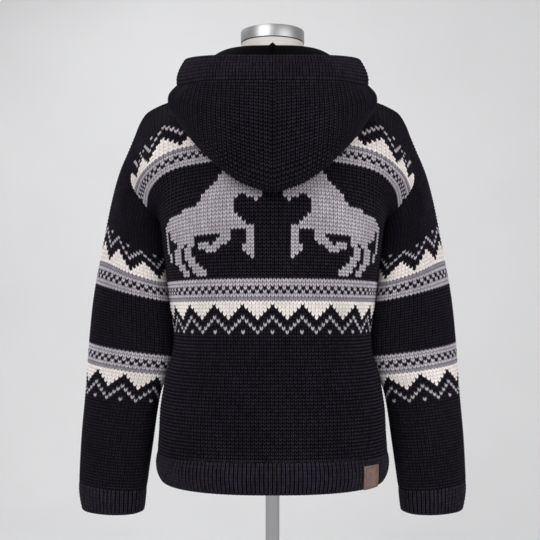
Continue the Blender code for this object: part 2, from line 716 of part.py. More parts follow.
def turned_object(name, profile, group):
    """A solid turned about the Z axis from a profile of radius and height."""
    corners = [(0.0, 0.0, profile[0][1])]
    corners += [(radius, 0.0, height) for radius, height in profile]
    corners.append((0.0, 0.0, profile[-1][1]))
    mesh = bpy.data.meshes.new(name)
    mesh.from_pydata(corners, [(k, k + 1) for k in range(len(corners) - 1)], [])
    item = bpy.data.objects.new(name, mesh)
    group.objects.link(item)
    screw = item.modifiers.new("turn", "SCREW")
    screw.axis = "Z"
    screw.steps = TURN_STEPS
    screw.render_steps = TURN_STEPS
    screw.use_merge_vertices = True
    screw.merge_threshold = 0.00001
    screw.use_normal_flip = True
    screw.use_smooth_shade = True
    return item


def build_form(group):
    """The limbless form: one smooth closed torso with its neck."""
    columns = FORM_COLUMNS
    rings = []
    heights = np.concatenate([np.linspace(FORM_BOTTOM, FORM_SHOULDER, FORM_LOW_ROWS)[:-1],
                              np.linspace(FORM_SHOULDER, FORM_NECK, FORM_LOW_ROWS),
                              np.linspace(FORM_NECK, NECK_TOP, 4)[1:]])
    table = np.array(FORM_SECTIONS)
    values = spline(table[:, 0], table[:, 1:], heights)
    for height, (width, back, fore, square) in zip(heights, values):
        ring = []
        for k in range(columns):
            angle = 2 * math.pi * k / columns
            c, s = math.cos(angle), math.sin(angle)
            power = 2.0 / square
            depth = back if c >= 0 else fore
            ring.append((width * math.copysign(abs(s) ** power, s),
                         depth * math.copysign(abs(c) ** power, c), height))
        rings.append(ring)
    corners = [point for ring in rings for point in ring]
    faces = []
    for r in range(len(rings) - 1):
        for k in range(columns):
            n = (k + 1) % columns
            a, b = r * columns + k, r * columns + n
            faces.append((a, b, b + columns, a + columns))
    faces.append(tuple(range(columns)))
    faces.append(tuple(range((len(rings) - 1) * columns, len(rings) * columns)))
    mesh_object("form_body", corners, faces, group)


def box_object(name, size, place, group):
    """A box of the given size at a place."""
    form = bmesh.new()
    bmesh.ops.create_cube(form, size=1.0, matrix=place @ Matrix.Diagonal((*size, 1.0)))
    mesh = bpy.data.meshes.new(name)
    form.to_mesh(mesh)
    form.free()
    item = bpy.data.objects.new(name, mesh)
    group.objects.link(item)
    return item


def rod_object(name, radius, length, place, steps, group):
    """A rod along X at a place."""
    form = bmesh.new()
    bmesh.ops.create_cone(form, cap_ends=True, segments=steps, radius1=radius, radius2=radius,
                          depth=length, matrix=place @ Matrix.Rotation(math.pi / 2, 4, "Y"))
    mesh = bpy.data.meshes.new(name)
    form.to_mesh(mesh)
    form.free()
    item = bpy.data.objects.new(name, mesh)
    group.objects.link(item)
    return item


def combine(target, cutter, operation):
    """Join a shape to the target or cut it out with an exact Boolean."""
    cutter.hide_render = True
    cutter.display_type = "WIRE"
    step = target.modifiers.new(cutter.name, "BOOLEAN")
    step.operation = operation
    step.solver = "EXACT"
    step.object = cutter


def build_slider(group, cutters, tape):
    """The zip slider with two lugs and a pin, and the pull tab that swings on the pin."""
    knots = np.arange(len(tape))
    at = SLIDER_AT * (len(tape) - 1)
    spot, above = spline(knots, tape[:, 0], [at, at + 0.3])
    tilt = math.atan2(above[1] - spot[1], above[2] - spot[2])
    base = Matrix.Translation((0.0, spot[1], spot[2])) @ Matrix.Rotation(-tilt, 4, "X")
    depth = SLIDER_SIZE[1]
    middle = Matrix.Translation((0.0, -(SLIDER_OUT + 0.5 * depth), 0.0))
    slider = box_object("zip_slider", SLIDER_SIZE, base @ middle, group)
    lug_out = SLIDER_OUT + depth + LUG_SINK * LUG_SIZE[1]
    for name, side in (("lug_shape_a", -LUG_SPREAD), ("lug_shape_b", LUG_SPREAD)):
        lug_at = base @ Matrix.Translation((side, -lug_out, PIN_UP))
        combine(slider, box_object(name, LUG_SIZE, lug_at, cutters), "UNION")
    pin_at = base @ Matrix.Translation((0.0, -PIN_OUT, PIN_UP))
    pin = rod_object("pin_shape", PIN_RADIUS, 2 * LUG_SPREAD, pin_at, 16, cutters)
    combine(slider, pin, "UNION")
    turn = Matrix.Rotation(-tilt, 4, "X")
    hang = Matrix.Translation((0.0, 0.0, HEAD_RADIUS - 0.5 * TAB_SIZE[2]))
    pull = box_object("zip_pull", TAB_SIZE, turn @ hang, group)
    pull.location = pin_at.to_translation()
    head = rod_object("head_shape", HEAD_RADIUS, TAB_SIZE[0], pin_at, 20, cutters)
    combine(pull, head, "UNION")
    eye = rod_object("eye_shape", EYE_RADIUS, EYE_REACH, pin_at, 16, cutters)
    combine(pull, eye, "DIFFERENCE")


def build_stand(group):
    """The steel cap, the pole with its flange and the round base with its hub."""
    cap = [(CAP_RADIUS - 0.0012, NECK_TOP + 0.0004), (CAP_RADIUS, NECK_TOP + 0.0016),
           (CAP_RADIUS, CAP_TOP - 0.0020), (CAP_RADIUS - 0.0008, CAP_TOP - 0.0006),
           (CAP_RADIUS - 0.0024, CAP_TOP)]
    turned_object("neck_cap", cap, group)
    top = FORM_BOTTOM - 0.0004
    pole = [(POLE_RADIUS, HUB_TOP + 0.0004), (POLE_RADIUS, top - 0.020),
            (POLE_RADIUS + 0.004, top - 0.010), (FLANGE_RADIUS, top - 0.006), (FLANGE_RADIUS, top)]
    turned_object("pole", pole, group)
    plate = [(BASE_RADIUS - 0.002, 0.0), (BASE_RADIUS, 0.002), (BASE_RADIUS, BASE_THICKNESS - 0.002),
             (BASE_RADIUS - 0.002, BASE_THICKNESS), (HUB_RADIUS + 0.004, BASE_THICKNESS + 0.001),
             (HUB_RADIUS, BASE_THICKNESS + 0.006), (HUB_RADIUS, HUB_TOP - 0.002),
             (HUB_RADIUS - 0.002, HUB_TOP)]
    turned_object("base_plate", plate, group)


def main():
    """Build every piece in its place."""
    clear_scene()
    group = bpy.data.collections.new("wool_jacket")
    cutters = bpy.data.collections.new("cutters")
    bpy.context.scene.collection.children.link(group)
    bpy.context.scene.collection.children.link(cutters)
    sleeve_out = sleeve_grid()[2]
    build_back(group, sleeve_out)
    build_fronts(group, sleeve_out)
    build_sleeves(group)
    build_cuffs(group)
    hem_points, hem_out = build_hem(group)
    build_label(group, hem_points, hem_out)
    build_hood(group)
    build_brim(group)
    tape = build_tapes(group)
    build_slider(group, cutters, tape)
    build_form(group)
    build_stand(group)
    wool = (0.010, 0.008, 0.012)
    linen = (0.76, 0.71, 0.66)
    steel = (0.52, 0.52, 0.53)
    for item in group.objects:
        if item.name == "form_body":
            shade_material(item, linen, 0.85)
        elif item.name in ("neck_cap", "pole", "base_plate", "zip_slider", "zip_pull"):
            shade_material(item, steel, 0.32, 1.0)
        elif item.name == "label":
            shade_material(item, (0.19, 0.11, 0.08), 0.6)
        else:
            shade_material(item, wool, 0.9)


main()
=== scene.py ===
"""Visual model of a hooded knitted wool jacket, seen from behind on a limbless dress form.

Every knitted piece is a thin shell on its solid's own form: a grid of stitches, each a small
V of two raised legs, coloured from charts. Metres, +Z up, the jacket's front faces -Y.
"""
import logging
import math
from dataclasses import dataclass
from enum import Enum
from typing import Optional, Sequence

import bmesh
import bpy
import numpy as np
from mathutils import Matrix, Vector


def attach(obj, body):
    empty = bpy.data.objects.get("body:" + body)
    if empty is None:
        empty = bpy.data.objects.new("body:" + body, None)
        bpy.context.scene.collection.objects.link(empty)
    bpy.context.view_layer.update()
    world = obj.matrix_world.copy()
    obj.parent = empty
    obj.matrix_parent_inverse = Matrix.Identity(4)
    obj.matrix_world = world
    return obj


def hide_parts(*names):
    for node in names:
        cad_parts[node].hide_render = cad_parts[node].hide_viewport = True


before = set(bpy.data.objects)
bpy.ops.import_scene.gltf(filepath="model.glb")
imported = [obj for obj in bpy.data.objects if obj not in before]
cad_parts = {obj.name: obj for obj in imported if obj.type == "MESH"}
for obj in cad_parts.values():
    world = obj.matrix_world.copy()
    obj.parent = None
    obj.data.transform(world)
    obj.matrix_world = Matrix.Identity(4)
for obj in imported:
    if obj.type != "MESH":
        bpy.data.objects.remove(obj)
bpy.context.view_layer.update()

LOG = logging.getLogger("jacket")
Grid = np.ndarray
MIRROR = np.array([-1.0, 1.0, 1.0])
SIDES = (("left", np.ones(3)), ("right", MIRROR))

# Cloth and seams
WALL = 0.004
RIB_WALL = 0.0045
FRONT_EDGE = 0.0065
NECK_SHARE = 1.0 / 3.0
SAMPLES = 33
HALF_SEAM = 0.0003
HEM_CENTRE = (0.0, 0.0, 0.78)
HEM_ROW_HEIGHT = 0.0155
CLEARANCE = 0.0004

# Stitches
BODY_COLUMNS = 44
LOW_STITCHES = 71
HIGH_STITCHES = 38
BOW_ROW = 51
BOW_SHARE = 0.75
SPREAD_AT = (0.0, 0.18, 0.36, 0.54, 0.665, 1.0)
SPREAD_TO = (0.0, 0.186, 0.364, 0.575, 0.77, 1.0)
SPREAD_ROWS = (40, 56)
SLEEVE_COLUMNS = 56
SLEEVE_STITCHES = 107
HOOD_COLUMNS = 56
HOOD_STITCHES = 102
BRIM_COLUMNS = 94
BRIM_STITCHES = 8
HEM_COLUMNS = 82
HEM_STITCHES = 10
CUFF_COLUMNS = 46
CUFF_STITCHES = 8
ACROSS = 4
ALONG = 2
SLANT_SHARES = (1.0, 0.5, 0.0, 0.5)
EDGE_RELIEF = 0.35

# Stand
BASE_RADIUS = 0.18
BASE_THICKNESS = 0.008
BASE_ROUNDING = 0.002
HUB_RADIUS = 0.021
HUB_TOP = 0.045
POLE_RADIUS = 0.012
FLANGE_RADIUS = 0.05
FORM_BOTTOM = 0.80
NECK_TOP = 1.4976
CAP_RADIUS = 0.0546
CAP_TOP = 1.5194

# Body below the underarm: height at the side, half width, depth behind, depth in front,
# rise of the row towards the middle
BODY_SECTIONS = [
    (0.8060, 0.1945, 0.1450, 0.1400, 0.004),
    (0.8300, 0.1925, 0.1460, 0.1405, 0.004),
    (0.8850, 0.1890, 0.1475, 0.1415, 0.004),
    (0.9310, 0.1797, 0.1480, 0.1425, 0.004),
    (0.9750, 0.1665, 0.1480, 0.1430, 0.005),
    (1.0154, 0.1648, 0.1480, 0.1440, 0.005),
    (1.0515, 0.1700, 0.1485, 0.1460, 0.006),
    (1.0997, 0.1755, 0.1495, 0.1480, 0.008),
    (1.1478, 0.1810, 0.1505, 0.1490, 0.016),
    (1.1850, 0.1855, 0.1500, 0.1480, 0.0265),
]
SQUARENESS = 2.5

# Rows above the underarm: points from the middle to the armhole edge
BACK_ROWS = [
    [(0, 0.146, 1.268), (0.100, 0.136, 1.264), (0.172, 0.094, 1.250), (0.2090, 0.043, 1.213)],
    [(0, 0.139, 1.310), (0.100, 0.129, 1.307), (0.178, 0.094, 1.292), (0.2335, 0.058, 1.252)],
    [(0, 0.117, 1.355), (0.100, 0.108, 1.356), (0.172, 0.080, 1.347), (0.2290, 0.043, 1.302)],
]
FRONT_ROWS = [
    [(0, -0.140, 1.255), (0.100, -0.132, 1.252), (0.172, -0.092, 1.238), (0.2090, -0.043, 1.213)],
    [(0, -0.128, 1.288), (0.100, -0.118, 1.294), (0.174, -0.088, 1.285), (0.2335, -0.058, 1.252)],
    [(0, -0.112, 1.318), (0.095, -0.098, 1.337), (0.166, -0.074, 1.340), (0.2290, -0.043, 1.302)],
]
SHOULDER_SEAM = [(0.075, 0.012, 1.424), (0.115, 0.003, 1.416), (0.160, -0.002, 1.405),
                 (0.200, -0.002, 1.390), (0.2165, -0.002, 1.380), (0.228, -0.002, 1.363),
                 (0.238, -0.002, 1.338)]
BACK_NECK = [(0, 0.062, 1.403), (0.045, 0.043, 1.412), (0.075, 0.012, 1.424)]
FRONT_NECK = [(0, -0.096, 1.345), (0.042, -0.078, 1.366), (0.066, -0.040, 1.397),
              (0.075, 0.012, 1.424)]
HIGH_STEPS = (0.0565, 0.103, 0.1555, 0.2128)

# Sleeve rings below the armhole: inner side, back inner, back, back outer, outer side
SLEEVE_RINGS = [
    [(0.1900, 0.004, 1.160), (0.216, 0.047, 1.178), (0.247, 0.056, 1.212), (0.256, 0.036, 1.258),
     (0.259, -0.006, 1.286)],
    [(0.1885, 0.009, 1.130), (0.209, 0.050, 1.138), (0.243, 0.058, 1.163), (0.266, 0.034, 1.203),
     (0.277, -0.010, 1.228)],
    [(0.1840, 0.014, 1.098), (0.199, 0.055, 1.103), (0.239, 0.061, 1.120), (0.274, 0.030, 1.142),
     (0.2935, -0.014, 1.150)],
    [(0.1765, 0.018, 1.046), (0.189, 0.054, 1.050), (0.2407, 0.058, 1.0605),
     (0.2880, 0.0275, 1.0707), (0.3080, -0.016, 1.075)],
    [(0.1695, 0.016, 0.972), (0.182, 0.049, 0.975), (0.2422, 0.052, 0.9815),
     (0.2960, 0.022, 0.988), (0.3183, -0.020, 0.991)],
    [(0.1905, 0.010, 0.905), (0.205, 0.042, 0.906), (0.2538, 0.044, 0.9095),
     (0.3035, 0.0163, 0.913), (0.3243, -0.024, 0.914)],
    [(0.2065, 0.003, 0.808), (0.2235, 0.033, 0.809), (0.2680, 0.036, 0.812),
     (0.3143, 0.0113, 0.815), (0.3335, -0.027, 0.816)],
    [(0.2172, -0.003, 0.737), (0.2342, 0.025, 0.738), (0.2760, 0.029, 0.7405),
     (0.3190, 0.0066, 0.743), (0.3378, -0.029, 0.7435)],
]
CUFF_RINGS = [
    [(0.2175, -0.003, 0.7362), (0.2345, 0.025, 0.7372), (0.2760, 0.029, 0.7397),
     (0.3190, 0.0066, 0.7422), (0.3378, -0.029, 0.7427)],
    [(0.2190, -0.004, 0.720), (0.2355, 0.025, 0.721), (0.2765, 0.029, 0.7225),
     (0.3195, 0.006, 0.724), (0.3380, -0.030, 0.7245)],
    [(0.2220, -0.006, 0.6965), (0.2380, 0.021, 0.6955), (0.2765, 0.025, 0.695),
     (0.3170, 0.003, 0.694), (0.3335, -0.031, 0.6935)],
]

# Hem rib: height at the side, half width, depth behind, depth in front, rise to the middle
HEM_SECTIONS = [
    (0.8056, 0.1945, 0.1450, 0.1400, 0.004),
    (0.7880, 0.1972, 0.1490, 0.1430, 0.003),
    (0.7720, 0.1950, 0.1485, 0.1425, 0.001),
    (0.7590, 0.1890, 0.1450, 0.1400, 0.000),
]

# Hood: a row per station from the middle of the back to the front edge. Points run from the
# neck seam over the stand, down to the lowest fold and up the outer layer to the brim seam
HOOD_STATIONS = [
    [(0, 0.0602, 1.4045), (0, 0.070, 1.474), (0, 0.099, 1.430), (0, 0.1385, 1.330),
     (0, 0.166, 1.229), (0, 0.190, 1.266), (0, 0.198, 1.335), (0, 0.184, 1.398)],
    [(0.045, 0.0425, 1.4135), (0.045, 0.060, 1.4755), (0.052, 0.097, 1.430), (0.055, 0.1365, 1.338),
     (0.051, 0.162, 1.247), (0.054, 0.187, 1.285), (0.056, 0.195, 1.345), (0.055, 0.181, 1.398)],
    [(0.0742, 0.0125, 1.4258), (0.078, 0.034, 1.476), (0.092, 0.084, 1.428),
     (0.100, 0.124, 1.352), (0.101, 0.150, 1.287), (0.106, 0.171, 1.315), (0.108, 0.178, 1.358),
     (0.103, 0.165, 1.400)],
    [(0.0738, -0.014, 1.4160), (0.097, 0.004, 1.469), (0.118, 0.052, 1.432),
     (0.134, 0.092, 1.376), (0.139, 0.116, 1.335), (0.149, 0.131, 1.350), (0.152, 0.132, 1.376),
     (0.139, 0.124, 1.403)],
    [(0.0655, -0.0405, 1.3985), (0.098, -0.030, 1.452), (0.122, 0.000, 1.443),
     (0.144, 0.036, 1.418), (0.158, 0.062, 1.388), (0.167, 0.076, 1.385), (0.166, 0.080, 1.398),
     (0.155, 0.079, 1.411)],
    [(0.0500, -0.0700, 1.3775), (0.074, -0.072, 1.420), (0.090, -0.062, 1.433),
     (0.106, -0.050, 1.436), (0.119, -0.041, 1.429), (0.129, -0.034, 1.426), (0.136, -0.029, 1.431),
     (0.137, -0.026, 1.441)],
    [(0.0280, -0.0870, 1.3590), (0.040, -0.095, 1.382), (0.050, -0.099, 1.396),
     (0.060, -0.100, 1.405), (0.069, -0.098, 1.411), (0.077, -0.095, 1.416),
     (0.083, -0.091, 1.421), (0.087, -0.087, 1.428)],
    [(0.0065, -0.0962, 1.3465), (0.010, -0.104, 1.356), (0.012, -0.110, 1.364),
     (0.014, -0.115, 1.371), (0.016, -0.119, 1.377), (0.018, -0.122, 1.384),
     (0.0195, -0.124, 1.391), (0.021, -0.125, 1.398)],
]
BRIM_TOPS = [(0, 0.177, 1.437), (0.052, 0.174, 1.438), (0.098, 0.158, 1.441), (0.132, 0.118, 1.447),
             (0.1425, 0.074, 1.452), (0.128, -0.031, 1.477), (0.081, -0.083, 1.465),
             (0.020, -0.120, 1.436)]

# Form: height, half width, depth behind, depth in front, squareness
FORM_SECTIONS = [
    (0.800, 0.1680, 0.1300, 0.1150, 2.4),
    (0.880, 0.1700, 0.1330, 0.1150, 2.4),
    (0.960, 0.1540, 0.1200, 0.1080, 2.3),
    (1.015, 0.1400, 0.1150, 0.1080, 2.2),
    (1.100, 0.1520, 0.1280, 0.1220, 2.2),
    (1.185, 0.1640, 0.1340, 0.1330, 2.2),
    (1.250, 0.1650, 0.1290, 0.1180, 2.3),
    (1.300, 0.1640, 0.1140, 0.1010, 2.3),
    (1.335, 0.1580, 0.0900, 0.0740, 2.2),
    (1.360, 0.1440, 0.0680, 0.0530, 2.1),
    (1.380, 0.1160, 0.0530, 0.0360, 2.0),
    (1.396, 0.0860, 0.0450, 0.0310, 2.0),
    (1.410, 0.0640, 0.0420, 0.0370, 2.0),
    (1.424, 0.0545, 0.0440, 0.0430, 2.0),
    (1.440, 0.0530, 0.0480, 0.0490, 2.0),
    (1.470, 0.0530, 0.0530, 0.0530, 2.0),
    (NECK_TOP, 0.0535, 0.0535, 0.0535, 2.0),
]


class Yarn(Enum):
    """Codes of the yarns in the charts."""

    BLACK = 0
    GREY = 1
    MID = 2
    CREAM = 3


# Heights of the sleeve's rows of stitches on its inner and outer sides
SLEEVE_ROWS = (0, 29, 44, 64, 79, 107)
SLEEVE_INNER = (0.737, 0.887, 0.965, 1.056, 1.133, 1.185)
SLEEVE_OUTER = (0.740, 0.894, 0.984, 1.086, 1.187, 1.338)

# Fall of the yoke's rows towards the armholes: rows of stitches, by how many each falls, and
# the share of the width where it starts
DROOP_ROWS = (71, 84, 99, 109)
DROOP_FALL = (0.0, 2.6, 2.6, 0.0)
DROOP_FROM = 0.70

# Charts: places of the patterns in rows and columns of stitches
BAND_ROWS = 15
BAND_REPEAT = 8
MAIN_BAND_TOP = 50
YOKE_BAND_FOOT = 84
HORSE_FOOT = 52
HORSE_START = 29

# The horse as spans of stitches, a row at a time from its feet up
HORSE = [
    [(5, 6), (9, 11)],
    [(5, 6), (8, 11)],
    [(4, 5), (8, 10)],
    [(4, 5), (7, 9)],
    [(3, 4), (7, 8)],
    [(1, 1), (3, 4), (6, 8), (24, 24)],
    [(1, 1), (3, 4), (6, 7), (23, 24)],
    [(1, 1), (3, 4), (6, 7), (12, 14), (22, 24)],
    [(0, 0), (3, 4), (6, 7), (10, 15), (22, 24)],
    [(0, 0), (4, 5), (7, 8), (10, 12), (14, 17), (23, 24)],
    [(0, 0), (4, 8), (15, 18), (23, 24)],
    [(0, 0), (3, 8), (16, 18), (23, 24)],
    [(0, 0), (2, 18), (23, 24)],
    [(0, 0), (2, 24)],
    [(0, 0), (2, 22)],
    [(0, 21)],
    [(0, 20)],
    [(1, 19)],
    [(2, 19)],
    [(6, 19)],
    [(10, 19), (25, 25)],
    [(11, 20), (23, 26)],
    [(11, 26)],
    [(12, 25)],
    [(13, 24)],
    [(14, 22)],
    [(15, 21)],
    [(15, 19)],
    [(16, 17)],
]


def spline(knots: Sequence[float], values: Grid, at: Grid) -> Grid:
    """Smooth curve through rows of values: cubic pieces with slopes from the neighbours.

    Args:
        knots: rising positions of the rows.
        values: one row of numbers or points for each knot.
        at: positions to read.

    Returns:
        The values at those positions.
    """
    knots = np.asarray(knots, float)
    values = np.asarray(values, float)
    at = np.atleast_1d(np.asarray(at, float))
    steps = np.diff(knots)
    shape = (-1,) + (1,) * (values.ndim - 1)
    chords = np.diff(values, axis=0) / steps.reshape(shape)
    slopes = np.empty_like(values)
    slopes[0] = chords[0]
    slopes[-1] = chords[-1]
    for k in range(1, len(knots) - 1):
        before, after = steps[k - 1], steps[k]
        slopes[k] = (chords[k - 1] * after + chords[k] * before) / (before + after)
    cell = np.clip(np.searchsorted(knots, at, side="right") - 1, 0, len(knots) - 2)
    span = steps[cell].reshape(shape)
    x = ((at - knots[cell]) / steps[cell]).reshape(shape)
    start = values[cell] * (2 * x ** 3 - 3 * x ** 2 + 1)
    end = values[cell + 1] * (3 * x ** 2 - 2 * x ** 3)
    start += slopes[cell] * span * (x ** 3 - 2 * x ** 2 + x)
    end += slopes[cell + 1] * span * (x ** 3 - x ** 2)
    return start + end


def lengths(points: Grid) -> Grid:
    """Running length along a chain of points."""
    steps = np.linalg.norm(np.diff(points, axis=0), axis=1)
    return np.concatenate([[0.0], np.cumsum(steps)])


def resampled(points: Grid, count: int) -> Grid:
    """The same chain in straight pieces at even steps of its length."""
    run = lengths(points)
    at = np.linspace(0, run[-1], count)
    return np.stack([np.interp(at, run, points[:, k]) for k in range(3)], axis=1)


def even_chain(points: Grid, count: int) -> Grid:
    """The smooth chain through the points at even steps of its length."""
    points = np.asarray(points, float)
    run = lengths(points)
    return resampled(spline(run, points, np.linspace(0, run[-1], 160)), count)


def mirrored(grid: Grid) -> Grid:
    """The same points or directions on the other side of the middle plane."""
    return grid * MIRROR


def unit(grid: Grid) -> Grid:
    """The directions at length one."""
    return grid / np.maximum(np.linalg.norm(grid, axis=-1, keepdims=True), 1e-12)


def facing(points: Grid, centre: Grid, around: bool = False) -> Grid:
    """Outward directions of a grid of points.

    Args:
        points: rows by columns of points.
        centre: points that the directions face away from, one a row.
        around: True where the columns close into a ring.

    Returns:
        One direction of length one for each point.
    """
    along = np.gradient(points, axis=0)
    if around:
        side = np.roll(points, -1, axis=1) - np.roll(points, 1, axis=1)
    else:
        side = np.gradient(points, axis=1)
    out = unit(np.cross(side, along))
    turn = np.sign(np.sum(out * (points - centre), axis=2).sum())
    return out * turn


def quarter(section: Sequence[float], front: bool) -> Grid:
    """A quarter of a body section, from the middle of the back or front to the side."""
    height, width, back, fore, rise = section
    depth = -fore if front else back
    angle = np.linspace(0, math.pi / 2, 120)
    power = 2.0 / SQUARENESS
    x = width * np.sin(angle) ** power
    y = depth * np.cos(angle) ** power
    z = height + rise * np.cos(angle) ** 1.5
    return even_chain(np.stack([x, y, z], axis=1), SAMPLES)


def body_table(front: bool) -> tuple[Grid, Grid]:
    """Rows of the half panel by their height in the cloth: knots and points."""
    rows = [quarter(section, front) for section in BODY_SECTIONS]
    run = list(lengths(np.array([section[:2] for section in BODY_SECTIONS])))
    for row in (FRONT_ROWS if front else BACK_ROWS):
        rows.append(even_chain(row, SAMPLES))
    inner = int(round(NECK_SHARE * (SAMPLES - 1)))
    neck = even_chain(FRONT_NECK if front else BACK_NECK, inner + 1)
    shoulder = even_chain(SHOULDER_SEAM, SAMPLES - inner)
    rows.append(np.concatenate([neck, shoulder[1:]]))
    run += [run[-1] + step for step in HIGH_STEPS]
    return np.array(run), np.array(rows)


def full_ring(half: Sequence[Sequence[float]], columns: int) -> Grid:
    """A closed ring from five points on its back half; the front half mirrors the back."""
    half = np.asarray(half, float)
    middle = 0.5 * (half[0, 1] + half[4, 1])
    swing = 0.5 * (half[0, 1] - half[4, 1])
    ring = [half[k] for k in range(5)]
    for k in (3, 2, 1):
        level = middle + math.cos(math.pi * k / 4) * swing
        ring.append(np.array([half[k, 0], 2 * level - half[k, 1], half[k, 2]]))
    ring = np.array(ring)
    closed = np.concatenate([ring[-2:], ring, ring[:3]])
    fine = spline(np.arange(-2, 11), closed, np.linspace(0, 8, 481))
    return resampled(fine, columns + 1)[:-1]


@dataclass(frozen=True)
class Crease:
    """A soft fold: a ridge (depth above zero) or a trough along a line."""

    start: tuple[float, float, float]
    end: tuple[float, float, float]
    width: float
    depth: float

    def lift(self, points: Grid) -> Grid:
        """Rise of the cloth at the points, fading out towards the line's ends."""
        first = np.array(self.start)
        line = np.array(self.end) - first
        share = np.sum((points - first) * line, axis=-1) / np.sum(line * line)
        near = first + np.clip(share, 0, 1)[..., None] * line
        away = np.linalg.norm(points - near, axis=-1)
        ends = np.clip(4 * np.minimum(share + 0.1, 1.1 - share), 0, 1)
        return self.depth * np.exp(-(away / self.width) ** 2) * ends


@dataclass(frozen=True)
class Relief:
    """Rise of a stitch's parts: column edges, legs, middle, and the dip between rows."""

    edge: float = -0.0015
    leg: float = 0.0006
    middle: float = -0.0004
    row: float = 0.0006
    slant: float = 1.1


STOCKINETTE = Relief()
RIB = Relief(edge=-0.0024, leg=0.0008, middle=0.0001, row=0.0004, slant=1.0)
FINE_RIB = Relief(edge=-0.0017, leg=0.0007, middle=-0.0003, row=0.0006, slant=1.7)


